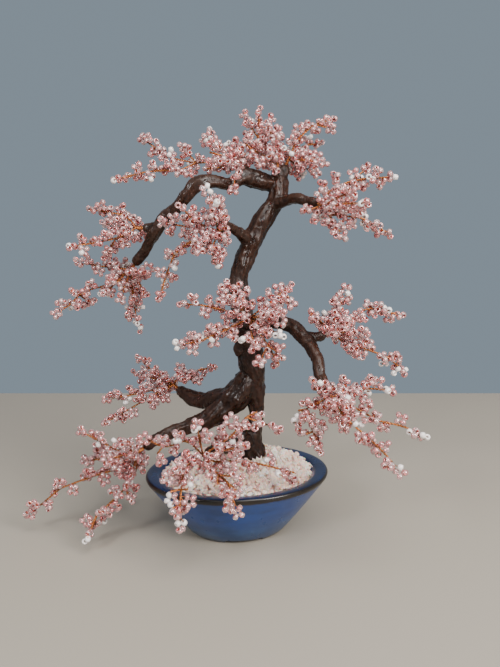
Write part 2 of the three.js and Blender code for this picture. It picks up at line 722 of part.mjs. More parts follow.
addPart('pot', makePot(), blueGlaze);
addPart('plaster_fill', makePlaster(), plaster);
addPart('quartz_chips', makeChips(), quartz);
addPart('trunk_and_boughs', makeTrunk(), bark);
for (const name of Object.keys(sprays)) {
  addPart(`spray_${name}`, makeSpray(name), pinkGlass);
}

const group = new THREE.Group();
group.add(tree);

export default group;
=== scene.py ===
import math

import bmesh
import bpy
import numpy as np
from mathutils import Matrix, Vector, kdtree, noise


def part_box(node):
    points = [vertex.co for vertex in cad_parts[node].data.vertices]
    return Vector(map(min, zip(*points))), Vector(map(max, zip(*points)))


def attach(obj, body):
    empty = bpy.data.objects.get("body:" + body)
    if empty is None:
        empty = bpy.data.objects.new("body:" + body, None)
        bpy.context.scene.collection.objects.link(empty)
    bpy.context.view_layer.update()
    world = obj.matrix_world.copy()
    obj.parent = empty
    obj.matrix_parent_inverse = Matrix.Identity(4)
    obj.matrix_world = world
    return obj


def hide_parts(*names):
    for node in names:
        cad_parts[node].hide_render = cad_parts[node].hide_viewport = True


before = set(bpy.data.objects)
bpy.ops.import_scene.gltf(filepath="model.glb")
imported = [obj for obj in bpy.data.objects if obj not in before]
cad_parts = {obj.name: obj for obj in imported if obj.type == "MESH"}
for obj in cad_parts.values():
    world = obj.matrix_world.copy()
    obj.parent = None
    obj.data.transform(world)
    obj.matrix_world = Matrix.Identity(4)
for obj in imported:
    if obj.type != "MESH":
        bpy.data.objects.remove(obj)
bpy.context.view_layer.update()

# ---------------------------------------------------------------------------------------------
# The table, the light and the viewer. The tree stands on a plain pale table top whose back edge
# lies a hand's breadth behind the pot, in soft light from large lamps, with a plain wall far off.

mm = 0.001
pot_low, pot_high = (Vector(corner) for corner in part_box("pot"))
pot_middle = np.array([(pot_low.x + pot_high.x) / 2, (pot_low.y + pot_high.y) / 2, 0.0])


def at(x, y, z):
    """A place given in millimetres from the middle of the pot's foot."""
    return Vector(pot_middle + np.array([x, y, z]) * mm)


def new_object(name, data):
    made = bpy.data.objects.new(name, data)
    bpy.context.scene.collection.objects.link(made)
    return made


def mesh_from(name, vertices, faces=(), edges=()):
    mesh = bpy.data.meshes.new(name)
    mesh.from_pydata([tuple(v) for v in vertices], edges, faces)
    mesh.update()
    return mesh


def aim(thing, place, direction):
    thing.location = place
    thing.rotation_euler = direction.to_track_quat("-Z", "Y").to_euler()


def set_inputs(made, inputs):
    """Sets a node's inputs to values, or wires them to the outputs of other nodes."""
    for name, value in inputs.items():
        if isinstance(value, bpy.types.NodeSocket):
            made.id_data.links.new(value, made.inputs[name])
        else:
            made.inputs[name].default_value = value


def node(tree, kind, inputs=None, out=0, **settings):
    """Adds a node with its settings and inputs to a tree, and gives back one of its outputs."""
    made = tree.nodes.new(kind)
    for name, value in settings.items():
        setattr(made, name, value)
    set_inputs(made, inputs or {})
    return made.outputs[out]


def surface(name, colour, roughness):
    """A new material, its node tree and the shader that its pattern is wired to."""
    material = bpy.data.materials.new(name)
    material.use_nodes = True
    shader = material.node_tree.nodes["Principled BSDF"]
    set_inputs(shader, {"Base Color": (*colour, 1), "Roughness": roughness})
    return material, material.node_tree, shader


def cover(piece, material):
    piece.data.materials.clear()
    piece.data.materials.append(material)


eye = at(-41.3, -247.5, 128.3)
eye_turn = math.radians(10.7)     # of the line of sight from +Y towards +X
eye_fall = math.radians(9.4)      # of the line of sight below the level
sight = Vector((math.sin(eye_turn) * math.cos(eye_fall),
                math.cos(eye_turn) * math.cos(eye_fall), -math.sin(eye_fall)))
viewer = new_object("viewer", bpy.data.cameras.new("viewer"))
viewer.data.lens = 32.4
viewer.data.sensor_width = 36
viewer.data.clip_start = 0.01
aim(viewer, eye, sight)
bpy.context.scene.camera = viewer

table_colour = (0.365, 0.325, 0.268)
table_half_width = 700
table_front = -700
table_back = 225


def on_table(along, behind):
    """A place on the table, whose back edge is square to the line of sight."""
    return at(along * math.cos(eye_turn) + behind * math.sin(eye_turn),
              behind * math.cos(eye_turn) - along * math.sin(eye_turn), 0)


corners = [on_table(side * table_half_width, behind)
           for side, behind in ((-1, table_front), (1, table_front), (1, table_back), (-1, table_back))]
table_top = new_object("table_top", mesh_from("table_top", corners, [(0, 1, 2, 3)]))
cover(table_top, surface("table_paint", table_colour, 0.45)[0])

tree_heart = at(0, 0, 95)


def lamp(name, place, width, watts, colour):
    """A round soft lamp, given in millimetres and watts, that points at the tree's heart."""
    light = bpy.data.lights.new(name, "AREA")
    light.shape = "DISK"
    light.size = width * mm
    light.energy = watts
    light.color = colour
    aim(new_object(name, light), place, tree_heart - place)


lamp("ceiling", at(60, -380, 620), 600, 5.2, (1.0, 0.98, 0.95))
lamp("window", at(360, -480, 360), 300, 4.5, (1.0, 0.97, 0.94))
lamp("far_window", at(-420, -380, 380), 120, 1.7, (0.95, 0.98, 1.0))

wall_colour = (0.222, 0.275, 0.325)
room_colour = (0.55, 0.58, 0.62)     # of the light that the room sends back from all sides
room_strength = 0.6

world = bpy.data.worlds.new("wall")
world.use_nodes = True
air = world.node_tree
wall = air.nodes["Background"]
set_inputs(wall, {"Color": (*wall_colour, 1)})
room_light = node(air, "ShaderNodeBackground", {"Color": (*room_colour, 1), "Strength": room_strength})
seen = node(air, "ShaderNodeLightPath", out="Is Camera Ray")
either = node(air, "ShaderNodeMixShader", {"Fac": seen, 1: room_light, 2: wall.outputs["Background"]})
set_inputs(air.nodes["World Output"], {"Surface": either})
bpy.context.scene.world = world

# ---------------------------------------------------------------------------------------------
# The pot: a cast oval stoneware bowl on four low feet, dipped in a runny blue glaze that breaks
# to brown at the lip's outer edge. Its flat lip is painted dark as shade; its foot is near black.

pot_half = 40            # half of its length; across it is narrower by oval_ratio
pot_height = 26.4
pot_sides = 144
oval_ratio = 0.79
foot_reach = 19.6
foot_height = 1.6
foot_gap_length = 16
foot_gap_width = 10
gap_cut = 90             # longer than the pot, so that each gap runs right through
recess_reach = 16        # of the hollow between the feet
floor_height = 4         # inside
recess_sides = 48
profile_step = 1.2
sharp_edge = 40          # degrees between two faces, from which the edge stays sharp

pot_outside = [
    (20.3, 0.25), (20.6, 0.5), (21.2, 1.0), (22.0, 1.7), (24.6, 4.8), (28.0, 9.0), (31.4, 13.3),
    (34.5, 17.4), (37.4, 21.4), (39.0, 23.5), (39.8, 24.6), (40.0, 25.2)]
pot_lip = [
    (39.9, 25.75), (39.6, 26.15), (39.0, 26.38), (38.0, 26.4), (36.5, 26.32), (35.2, 26.2),
    (34.5, 26.05), (34.0, 25.6)]
pot_inside = [(33.2, 24.9), (31.2, 21.5), (24.0, 11.0), (19.5, 4.4)]


def oval(reach, height, sides):
    angles = np.arange(sides) / sides * 2 * math.pi
    ring = np.stack([reach * np.cos(angles), oval_ratio * reach * np.sin(angles), np.full(sides, height)],
                    axis=1)
    return pot_middle + ring * mm


def bands(sides, levels, closed=False):
    """The faces between rings of equal count; in a closed skin the last ring meets the first."""
    faces = []
    for level in range(levels if closed else levels - 1):
        start, after = level * sides, (level + 1) % levels * sides
        for i in range(sides):
            k = (i + 1) % sides
            faces.append((start + i, start + k, after + k, after + i))
    return faces


def lathe(rings, bottom, top):
    """Vertices and faces of a closed skin through rings of equal count, with a point at each end."""
    sides = len(rings[0])
    vertices = np.concatenate([*rings, [bottom], [top]])
    faces = bands(sides, len(rings))
    last = (len(rings) - 1) * sides
    for i in range(sides):
        faces.append(((i + 1) % sides, i, len(vertices) - 2))
        faces.append((last + i, last + (i + 1) % sides, len(vertices) - 1))
    return vertices, faces


def bowl_profile():
    """The section of the bowl from its foot over the lip to the inside, in short steps."""
    points = [*pot_outside, *pot_lip, *pot_inside]
    fine = []
    for here, after in zip(points, points[1:]):
        steps = max(1, round(math.dist(here, after) / profile_step))
        fine += [(here[0] + (after[0] - here[0]) * k / steps, here[1] + (after[1] - here[1]) * k / steps)
                 for k in range(steps)]
    return [*fine, points[-1]]


def box_cutter(name, length, width):
    """A box round the pot's middle, which reaches a foot's height above the table and below it."""
    vertices = [at(i * length / 2, j * width / 2, k * foot_height)
                for i in (-1, 1) for j in (-1, 1) for k in (-1, 1)]
    faces = [(0, 1, 3, 2), (4, 6, 7, 5), (0, 4, 5, 1), (2, 3, 7, 6), (0, 2, 6, 4), (1, 5, 7, 3)]
    return new_object(name, mesh_from(name, vertices, faces))


def finished(piece):
    """Turns a piece with its modifiers into a plain mesh."""
    bpy.context.view_layer.update()
    graph = bpy.context.evaluated_depsgraph_get()
    mesh = bpy.data.meshes.new_from_object(piece.evaluated_get(graph))
    piece.modifiers.clear()
    piece.data = mesh
    return piece


def cast_pot():
    rings = [oval(foot_reach, 0, pot_sides)]
    rings += [oval(reach, height, pot_sides) for reach, height in bowl_profile()]
    skin = lathe(rings, at(0, 0, 0), at(0, 0, floor_height))
    pot = new_object("glazed_pot", mesh_from("glazed_pot", *skin))
    recess = lathe([oval(recess_reach, -1, recess_sides), oval(recess_reach - 1, foot_height, recess_sides)],
                   at(0, 0, -1), at(0, 0, foot_height))
    cutters = [box_cutter("lengthwise_gap", gap_cut, foot_gap_width),
               box_cutter("crosswise_gap", foot_gap_length, gap_cut),
               new_object("recess", mesh_from("recess", *recess))]
    for cutter in cutters:
        cut = pot.modifiers.new(cutter.name, "BOOLEAN")
        cut.operation = "DIFFERENCE"
        cut.solver = "EXACT"
        cut.object = cutter
    finished(pot)
    for cutter in cutters:
        bpy.data.objects.remove(cutter)
    pot.data.shade_smooth()
    pot.data.set_sharp_from_angle(angle=math.radians(sharp_edge))
    return pot


def maths(tree, operation, *values):
    """A Math node on sockets or numbers."""
    return node(tree, "ShaderNodeMath", dict(enumerate(values)), operation=operation)


def vectors(tree, operation, *values, out=0):
    """A Vector Math node on sockets or triples."""
    return node(tree, "ShaderNodeVectorMath", dict(enumerate(values)), out, operation=operation)


def ramp(tree, value, *stops):
    """A colour ramp fed by a value, with its stops as (position, colour)."""
    shade = node(tree, "ShaderNodeValToRGB", {"Fac": value})
    elements = shade.node.color_ramp.elements
    while len(elements) < len(stops):
        elements.new(0.5)
    for element, (position, colour) in zip(elements, stops):
        element.position = position
        element.color = (*colour, 1)
    return shade


def place_of(tree, scale=(1, 1, 1), shift=(0, 0, 0)):
    """Object coordinates, stretched and shifted."""
    place = node(tree, "ShaderNodeTexCoord", out="Object")
    return node(tree, "ShaderNodeMapping", {"Vector": place, "Scale": scale, "Location": shift})


def speckle(tree, scale, detail, roughness=0.5, stretch=(1, 1, 1)):
    return node(tree, "ShaderNodeTexNoise", {
        "Vector": place_of(tree, stretch), "Scale": scale, "Detail": detail, "Roughness": roughness})


def rescaled(tree, value, source, result):
    """A value brought from one range to another."""
    names = ("From Min", "From Max", "To Min", "To Max")
    return node(tree, "ShaderNodeMapRange", {"Value": value, **dict(zip(names, (*source, *result)))})


def tinted(tree, share, first, second, blend="MIX"):
    """A Mix node, whose inputs 6 and 7 and output 2 are the colours."""
    if isinstance(second, tuple):
        second = (*second, 1)
    return node(tree, "ShaderNodeMix", {0: share, 6: first, 7: second}, out=2, data_type="RGBA",
                blend_type=blend)


def bumped(tree, height, strength, depth):
    return node(tree, "ShaderNodeBump", {"Height": height, "Strength": strength, "Distance": depth * mm})


rim_share = 0.987        # of the half length, where the glaze breaks to brown
rim_blend = 0.012


def blue_glaze():
    glaze, tree, shader = surface("blue_glaze", (0.03, 0.07, 0.2), 0.25)
    streaks = speckle(tree, 260, 4, stretch=(1, 1, 0.15))
    clouds = speckle(tree, 90, 4)
    height = node(tree, "ShaderNodeSeparateXYZ", {"Vector": place_of(tree)}, out="Z")
    level = maths(tree, "DIVIDE", height, pot_height * mm)
    ragged = maths(tree, "MULTIPLY_ADD", maths(tree, "SUBTRACT", clouds, 0.5), 0.05, level)
    # The glaze by height: near black along the foot, lighter and greyer just above it, blue up the body, and
    # painted darker on the flat lip from 0.97 up, as shade.
    body = ramp(
        tree, ragged,
        (0.000, (0.012, 0.011, 0.011)), (0.040, (0.016, 0.018, 0.024)), (0.075, (0.050, 0.085, 0.130)),
        (0.220, (0.030, 0.082, 0.185)), (0.500, (0.014, 0.063, 0.220)), (0.945, (0.012, 0.056, 0.205)),
        (0.970, (0.003, 0.013, 0.050)))
    streaky = tinted(tree, maths(tree, "MULTIPLY", streaks, 0.6), body, (0.10, 0.20, 0.46), "SOFT_LIGHT")
    pooled = rescaled(tree, speckle(tree, 75, 4, 0.6, stretch=(1, 1, 3)), (0.40, 0.62), (0.0, 0.6))
    mottled = tinted(tree, pooled, streaky, (0.005, 0.026, 0.105))
    length, width = pot_half * mm, oval_ratio * pot_half * mm
    reach = place_of(tree, (1 / length, 1 / width, 0), (-pot_middle[0] / length, -pot_middle[1] / width, 0))
    share = vectors(tree, "LENGTH", reach, out="Value")
    broken = maths(tree, "MULTIPLY_ADD", maths(tree, "SUBTRACT", streaks, 0.5), 0.02, share)
    thin = ramp(tree, broken, (rim_share - rim_blend, (0, 0, 0)), (rim_share, (1, 1, 1)))
    rim = ramp(tree, clouds, (0.35, (0.005, 0.003, 0.002)), (0.65, (0.016, 0.010, 0.006)))
    set_inputs(shader, {
        "Base Color": tinted(tree, thin, mottled, rim), "Normal": bumped(tree, streaks, 0.12, 0.2),
        "Roughness": maths(tree, "MULTIPLY_ADD", streaks, 0.2, 0.2), "Specular IOR Level": 0.4,
        "Coat Weight": 0.2, "Coat Roughness": 0.08})
    return glaze


def stands_for(piece, cad_node):
    """Puts a finished piece on the one body, in the place of a CAD node."""
    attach(piece, "root")
    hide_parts(cad_node)


pot = cast_pot()
cover(pot, blue_glaze())
stands_for(pot, "pot")

# ---------------------------------------------------------------------------------------------
# The plaster fill: casting plaster poured round the foot of the trunk, which weighs the pot down.
# It stays below the chips, so only its chalky skin and small air holes are given.


def casting_plaster():
    plaster, tree, shader = surface("casting_plaster", (0.62, 0.59, 0.53), 0.85)
    pores = speckle(tree, 900, 6, 0.7)
    set_inputs(shader, {
        "Base Color": ramp(tree, pores, (0.30, (0.42, 0.39, 0.34)), (0.48, (0.64, 0.61, 0.55))),
        "Normal": bumped(tree, pores, 0.5, 0.2)})
    return plaster


cover(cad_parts["plaster_fill"], casting_plaster())

# ---------------------------------------------------------------------------------------------
# The quartz chips: angular crushed stone, pale pink to white, poured over the plaster in a heap
# that is highest at the trunk. Each chip is a broken lump with flat faces, two to five millimetres.

chips_edge = 25.7
chips_rise = 7.4
chips_flatness = 4       # power of the heap's fall: the higher, the flatter its top
chips_half_length = 32.6
heap_half_length = 33.3     # out to the lip, whose inner edge the chips just cover
chips_underside = 21.0
underside_half_length = 30.1
heap_sides = 96
heap_steps = 18
trunk_foot = (5.5, 1.0)
trunk_foot_radius = 5.6
chip_shapes = 9
chip_corners = 11
least_squash, most_squash = 0.55, 0.95
least_corner = 0.8       # reach of a corner, as a share of the squashed ball's radius
chip_size = 4.6
least_chip, largest_chip = 0.65, 1.2     # as shares of chip_size
chip_bed_drop = 2.6      # of the solid heap under the loose chips
most_chips = 6.0e6       # to a square metre, before those nearer than the spacing are taken out
least_slope = 0.3        # upward share of the heap's normal where chips lie
chip_layers = [(1.9, -1.9), (2.2, -1.0), (3.0, -0.3)]     # spacing, and lift above the heap


def heap_height(x, y):
    reach = math.hypot(x / chips_half_length, y / (oval_ratio * chips_half_length))
    return chips_edge + chips_rise * (1 - min(reach, 1) ** chips_flatness)


def heap_mesh(drop):
    """The heap as a closed ring: from the lip over its top to the foot of the trunk, and back below."""
    angles = [i / heap_sides * 2 * math.pi for i in range(heap_sides)]
    edge = [np.array([math.cos(a), oval_ratio * math.sin(a)]) * heap_half_length for a in angles]
    foot = [np.array(trunk_foot) + trunk_foot_radius * np.array([math.cos(a), math.sin(a)]) for a in angles]
    underside = oval(underside_half_length, 0, heap_sides) - pot_middle
    levels = [[at(x / mm, y / mm, chips_underside) for x, y, _ in underside]]
    for step in range(heap_steps + 1):
        ring = [outer + (inner - outer) * (step / heap_steps) for outer, inner in zip(edge, foot)]
        levels.append([at(x, y, heap_height(x, y) - drop) for x, y in ring])
    levels.append([at(x, y, chips_underside) for x, y in foot])
    vertices = [v for ring in levels for v in ring]
    return mesh_from("heap", vertices, bands(heap_sides, len(levels), closed=True))


def chip_mesh(index, draw):
    """A broken lump: the hull of a few points thrown into a squashed ball."""
    lump = bmesh.new()
    squash = draw.uniform(least_squash, most_squash, 3)
    for _ in range(chip_corners):
        direction = draw.normal(size=3)
        direction /= np.linalg.norm(direction)
        lump.verts.new(direction * squash * draw.uniform(least_corner, 1.0) * 0.5)
    bmesh.ops.convex_hull(lump, input=lump.verts)
    bmesh.ops.delete(lump, geom=[v for v in lump.verts if not v.link_faces], context="VERTS")
    bmesh.ops.recalc_face_normals(lump, faces=lump.faces)
    mesh = bpy.data.meshes.new(f"chip_{index}")
    lump.to_mesh(mesh)
    lump.free()
    return mesh


def new_tree(name, **inputs):
    """A Geometry Nodes tree with named inputs, given by socket kind; its inputs and its result."""
    tree = bpy.data.node_groups.new(name, "GeometryNodeTree")
    tree.interface.new_socket("Geometry", in_out="INPUT", socket_type="NodeSocketGeometry")
    tree.interface.new_socket("Geometry", in_out="OUTPUT", socket_type="NodeSocketGeometry")
    for label, kind in inputs.items():
        tree.interface.new_socket(label.replace("_", " "), in_out="INPUT", socket_type=f"NodeSocket{kind}")
    return tree, tree.nodes.new("NodeGroupInput").outputs, tree.nodes.new("NodeGroupOutput")


def run_tree(name, mesh, tree, **inputs):
    """Runs a tree on a mesh and gives back the finished piece."""
    piece = new_object(name, mesh)
    modifier = piece.modifiers.new(tree.name, "NODES")
    modifier.node_group = tree
    for item in tree.interface.items_tree:
        label = item.name.replace(" ", "_")
        if item.in_out == "INPUT" and label in inputs:
            modifier[item.identifier] = inputs[label]
    return finished(piece)


def chance_value(tree, low=0.0, high=1.0, seed=0):
    """A random number for each instance, whose inputs 2 and 3 and output 1 are the plain numbers."""
    return node(tree, "FunctionNodeRandomValue", {2: low, 3: high, "Seed": seed}, out=1, data_type="FLOAT")


def marked(tree, shape, name, value, kind="FLOAT", domain="INSTANCE"):
    return node(tree, "GeometryNodeStoreNamedAttribute", {"Geometry": shape, "Name": name, "Value": value},
                data_type=kind, domain=domain)


def made_of(tree, shape, material):
    return node(tree, "GeometryNodeSetMaterial", {"Geometry": shape, "Material": material})


def chip_tree():
    """Scatters turned and scaled chips over the top of the heap."""
    tree, given, result = new_tree("loose_chips", Chips="Collection", Spacing="Float", Size="Float",
                                   Lift="Float", Seed="Int", Stone="Material")
    seed = given["Seed"]
    upward = node(tree, "ShaderNodeSeparateXYZ", {"Vector": node(tree, "GeometryNodeInputNormal")}, out="Z")
    top = node(tree, "FunctionNodeCompare", {"A": upward, "B": least_slope}, data_type="FLOAT",
               operation="GREATER_THAN")
    scatter = node(tree, "GeometryNodeDistributePointsOnFaces", {
        "Mesh": given["Geometry"], "Selection": top, "Distance Min": given["Spacing"],
        "Density Max": most_chips, "Seed": seed}, distribute_method="POISSON")
    lift = node(tree, "ShaderNodeCombineXYZ", {"Z": given["Lift"]})
    raised = node(tree, "GeometryNodeSetPosition", {"Geometry": scatter, "Offset": lift})
    shapes = node(tree, "GeometryNodeCollectionInfo", {
        "Collection": given["Chips"], "Separate Children": True, "Reset Children": True})
    turn = node(tree, "FunctionNodeRandomValue", {"Max": (2 * math.pi,) * 3, "Seed": seed},
                data_type="FLOAT_VECTOR")
    size = maths(tree, "MULTIPLY", chance_value(tree, least_chip, largest_chip, seed), given["Size"])
    chips = node(tree, "GeometryNodeInstanceOnPoints", {
        "Points": raised, "Instance": shapes, "Pick Instance": True, "Rotation": turn, "Scale": size})
    tint = marked(tree, chips, "tint", chance_value(tree))
    real = node(tree, "GeometryNodeRealizeInstances", {"Geometry": tint})
    set_inputs(result, {"Geometry": made_of(tree, real, given["Stone"])})
    return tree


def attribute(tree, name):
    return node(tree, "ShaderNodeAttribute", out="Fac", attribute_name=name)


def crushed_quartz():
    quartz, tree, shader = surface("crushed_quartz", (0.75, 0.66, 0.62), 0.45)
    # The darkest stop is also the colour of the bed under the loose chips, which has no tint: there it is
    # painted shade between the chips.
    stone = ramp(tree, attribute(tree, "tint"), (0.0, (0.80, 0.48, 0.37)), (0.08, (0.97, 0.62, 0.50)),
                 (0.5, (1.0, 0.73, 0.62)), (1.0, (1.0, 0.83, 0.74)))
    veins = speckle(tree, 1400, 4, 0.65)
    set_inputs(shader, {
        "Base Color": tinted(tree, maths(tree, "MULTIPLY", veins, 0.45), stone, (1.0, 0.84, 0.76)),
        "Normal": bumped(tree, veins, 0.35, 0.08), "Specular IOR Level": 0.3,
        "Subsurface Weight": 0.45, "Subsurface Scale": 1.2 * mm})
    return quartz


def pour_chips():
    draw = np.random.default_rng(17)
    box = bpy.data.collections.new("chip_shapes")
    shapes = [bpy.data.objects.new(f"chip_{i}", chip_mesh(i, draw)) for i in range(chip_shapes)]
    for shape in shapes:
        box.objects.link(shape)
    quartz = crushed_quartz()
    tree = chip_tree()
    heap = new_object("heap", heap_mesh(chip_bed_drop))
    # The bed carries no tint, so it takes the darkest stop: painted shade between the chips.
    cover(heap, quartz)
    layers = [run_tree(f"chip_layer_{i}", heap_mesh(0), tree, Chips=box, Spacing=spacing * mm,
                       Size=chip_size * mm, Lift=lift * mm, Seed=i, Stone=quartz)
              for i, (spacing, lift) in enumerate(chip_layers)]
    for shape in shapes:
        bpy.data.objects.remove(shape)
    bpy.data.collections.remove(box)
    with bpy.context.temp_override(active_object=heap, selected_editable_objects=[heap, *layers]):
        bpy.ops.object.join()
    heap.name = "quartz_heap"
    return heap


stands_for(pour_chips(), "quartz_chips")

# ---------------------------------------------------------------------------------------------
# The trunk and boughs: iron wires bent to shape and covered by hand in hard modelled bark, which
# is ridged lengthwise, stained dark brown and varnished. The spray wires are set into its tips.

limbs = {          # x, y and z of the middle and the radius, from root to tip
    "trunk": [
        (5.5, 1, 8, 6.8), (5.5, 1, 21.5, 7), (5.3, 1, 33, 6.9), (5.6, 1, 39.5, 5.2), (7.6, 0.5, 46, 3.5),
        (8.5, 1.2, 52.5, 3.4), (7.8, 1.5, 60, 4.9), (6.9, 2, 69.5, 5.5), (6, 2, 79, 6),
        (4.5, 2, 86.5, 5.8), (3.4, 4.5, 93.5, 4.6), (1.4, 5.5, 102, 3.9), (2, 7.5, 111, 3.9),
        (6.3, 9, 121.5, 4.5), (11.2, 10, 131, 4.1), (15.8, 11, 138, 4.1), (20, 12.5, 144.5, 3.9),
        (21, 14.5, 150, 3.5), (21, 16.5, 156, 2.6)],
    "knob": [(4, 2, 79, 5), (0.6, 1.5, 80.5, 4.4), (-1.2, 1.2, 81, 2.6)],
    "arch": [
        (20.5, 14.5, 149, 3.6), (13, 14, 151, 3.8), (5, 11, 152, 3.2), (-2, 9, 149, 2.7),
        (-9, 7, 150, 2.6), (-15, 6, 149, 2.7), (-19, 7, 145, 2.6), (-24, 10, 139, 2.5),
        (-29, 14, 135, 2.5), (-33, 16, 129, 2.4), (-36, 20, 123, 2.3), (-42, 24, 115, 2.1)],
    "archStub": [(6, 11, 151, 2.4), (6, 12, 154, 2.1), (5, 13, 157, 2.0)],
    "topStub": [(20, 14, 150, 2.8), (23, 15, 155, 2.2), (24.5, 16, 158, 2.0)],
    "leftStub": [(-31, 15, 131, 2.2), (-35, 18, 131, 2.0), (-38, 19, 131, 1.9)],
    "upperRight": [
        (18, 11, 140.5, 3.0), (21, 6, 141.8, 2.4), (25, -1, 142.9, 2.2), (29, -6, 141.4, 2.1),
        (31.5, -10, 140.6, 2.0)],
    "upperLeft": [(7, 9, 125, 3.0), (1.5, 4.5, 129, 2.2), (-3, 1, 131, 2.0), (-7, -4, 130, 2.0)],
    "right": [
        (5, 2, 90, 3.8), (10, -6, 92, 2.9), (14, -12, 93, 2.7), (19, -16, 92, 2.6), (22, -20, 89, 2.7),
        (25, -25, 85, 2.6), (26, -30, 81, 2.4), (26, -35, 75, 2.3), (27, -40, 71, 2.0)],
    "rightStub": [(22, -20, 88, 2.4), (28, -22, 88, 2.1), (32, -22, 89, 2.0)],
    "centreStub": [(4, 1, 90, 3.0), (3, -9, 93, 2.3), (2, -16, 95, 2.0)],
    "midLeft": [
        (3, 2.5, 62, 4.2), (-3.5, 5.5, 58, 4.2), (-8.5, 12, 55, 4.1), (-13.5, 18, 53, 3.8),
        (-18.5, 24, 53.5, 3.1), (-23.5, 30, 56.5, 2.2)],
    "lowerLeft": [
        (6, 2, 70, 4.8), (2.5, 1.5, 62.5, 5.6), (-3, 2.5, 55.8, 5.4), (-9, 2.5, 51.3, 4.7),
        (-14.5, 3, 48.1, 3.9), (-21, 3, 46, 3), (-28, 2.5, 44.2, 2.7), (-35, 1.5, 41.8, 2.4),
        (-40.5, 0.5, 38.5, 2.1)],
    "front": [(5, 0, 39.5, 3.6), (-1, -8, 40.5, 2.9), (-9.5, -18.5, 43.5, 2.4), (-17, -29.5, 45.5, 2)],
}
limb_sides = 56
limb_step = 0.7
clay_grain = 0.45        # size of the smallest form that the modelling tool leaves
clay_rounds = 2          # of pressing the clay smooth, each by clay_pressure
clay_pressure = 0.5
hollow_depth = 0.3       # of a dent that is painted darkest, as shade
hollow_reach = 10        # edges of the mesh, over which a dent's depth is measured


def unit(v):
    return v / np.linalg.norm(v)


def swung(first, second, angle):
    """A direction turned by an angle from one towards another."""
    return first * math.cos(angle) + second * math.sin(angle)


def smooth_path(points, spacing):
    """Points at even steps along a round curve through the given ones, as rows of numbers."""
    points = np.array(points, float)
    padded = np.vstack([2 * points[0] - points[1], points, 2 * points[-1] - points[-2]])
    knots = [0.0]
    for a, b in zip(padded, padded[1:]):
        knots.append(knots[-1] + math.sqrt(np.linalg.norm(b[:3] - a[:3])))
    path = []
    for i in range(1, len(padded) - 2):
        p0, p1, p2, p3 = padded[i - 1:i + 3]
        t0, t1, t2, t3 = knots[i - 1:i + 3]
        steps = max(1, round(np.linalg.norm(p2[:3] - p1[:3]) / spacing))
        for k in range(steps):
            t = t1 + (t2 - t1) * k / steps
            a1 = (t1 - t) / (t1 - t0) * p0 + (t - t0) / (t1 - t0) * p1
            a2 = (t2 - t) / (t2 - t1) * p1 + (t - t1) / (t2 - t1) * p2
            a3 = (t3 - t) / (t3 - t2) * p2 + (t - t2) / (t3 - t2) * p3
            b1 = (t2 - t) / (t2 - t0) * a1 + (t - t0) / (t2 - t0) * a2
            b2 = (t3 - t) / (t3 - t1) * a2 + (t - t1) / (t3 - t1) * a3
            path.append((t2 - t) / (t2 - t1) * b1 + (t - t1) / (t2 - t1) * b2)
    return np.array([*path, points[-1]])


def frames_of(stations):
    """The forward direction and two cross directions at each station, carried along without twist."""
    frames = []
    normal = None
    for i in range(len(stations)):
        forward = unit(stations[min(len(stations) - 1, i + 1)] - stations[max(0, i - 1)])
        if normal is None:
            normal = np.cross((1, 0, 0) if abs(forward[2]) > 0.9 else (0, 0, 1), forward)
        normal = unit(normal - forward * normal.dot(forward))
        frames.append((forward, normal, np.cross(forward, normal)))
    return frames


def bark_relief(limb, angle, along, radius):
    """How far the bark stands out of a plain round limb: ridges that wind slowly, and soft lumps."""
    wound = angle + 0.035 * along
    around = Vector((math.cos(wound), math.sin(wound), 0))
    ridge_place = around * (0.36 * radius + 0.5) + Vector((0, 0, along * 0.045 + 7.3 * limb))
    ridges = 1 - 2 * abs(noise.noise(ridge_place))
    fine = 1 - 2 * abs(noise.noise(ridge_place * 2.3 + Vector((3, 5, along * 0.03))))
    lumps = noise.noise(around * 1.1 + Vector((0, 0, along * 0.16 + 3.1 * limb)))
    swelling = noise.noise(Vector((0.5, 0.5, along * 0.13 + 5.7 * limb)))
    return radius * (0.17 * (ridges - 0.55) + 0.07 * (fine - 0.5) + 0.15 * lumps + 0.2 * swelling)


def limb_skin(number, points):
    """The skin of one limb: rings with relief along its path, which close round its ends."""
    path = smooth_path(points, limb_step)
    middles = path[:, :3]
    rings = []
    travelled = 0.0
    for i, (middle, radius, (_, normal, side)) in enumerate(zip(middles, path[:, 3], frames_of(middles))):
        travelled += np.linalg.norm(middle - middles[max(0, i - 1)])
        left = min(i, len(path) - 1 - i) * limb_step / max(radius, 0.1)
        dome = math.sqrt(max(0.05, 1 - (1 - min(left, 1)) ** 2)) if number else 1
        ring = []
        for k in range(limb_sides):
            angle = k / limb_sides * 2 * math.pi
            reach = radius * dome + bark_relief(number, angle, travelled, radius) * dome
            ring.append(at(*(middle + reach * swung(normal, side, angle))))
        rings.append(ring)
    return lathe(rings, at(*middles[0]), at(*middles[-1]))


def neighbours_mean(mesh, values, rounds):
    """Values on a mesh's vertices, each made the mean of its neighbours' a few times over."""
    edges = np.empty(len(mesh.edges) * 2, int)
    mesh.edges.foreach_get("vertices", edges)
    edges = edges.reshape(-1, 2)
    counts = np.bincount(edges.ravel(), minlength=len(mesh.vertices))[:, None]
    for _ in range(rounds):
        total = np.zeros_like(values)
        np.add.at(total, edges[:, 0], values[edges[:, 1]])
        np.add.at(total, edges[:, 1], values[edges[:, 0]])
        values = total / counts
    return values


def pressed_clay(place):
    """How far the tool's dents and wrinkles lift the bark at a place in millimetres."""
    dents = noise.noise(place * 0.40)
    wrinkles = 1 - 2.4 * abs(noise.noise(place * Vector((0.75, 0.75, 0.45))))
    pimples = noise.noise(place * 1.3)
    return 0.30 * dents + 0.14 * wrinkles + 0.10 * pimples


def normals_of(mesh):
    return np.array([v.vector for v in mesh.vertex_normals])


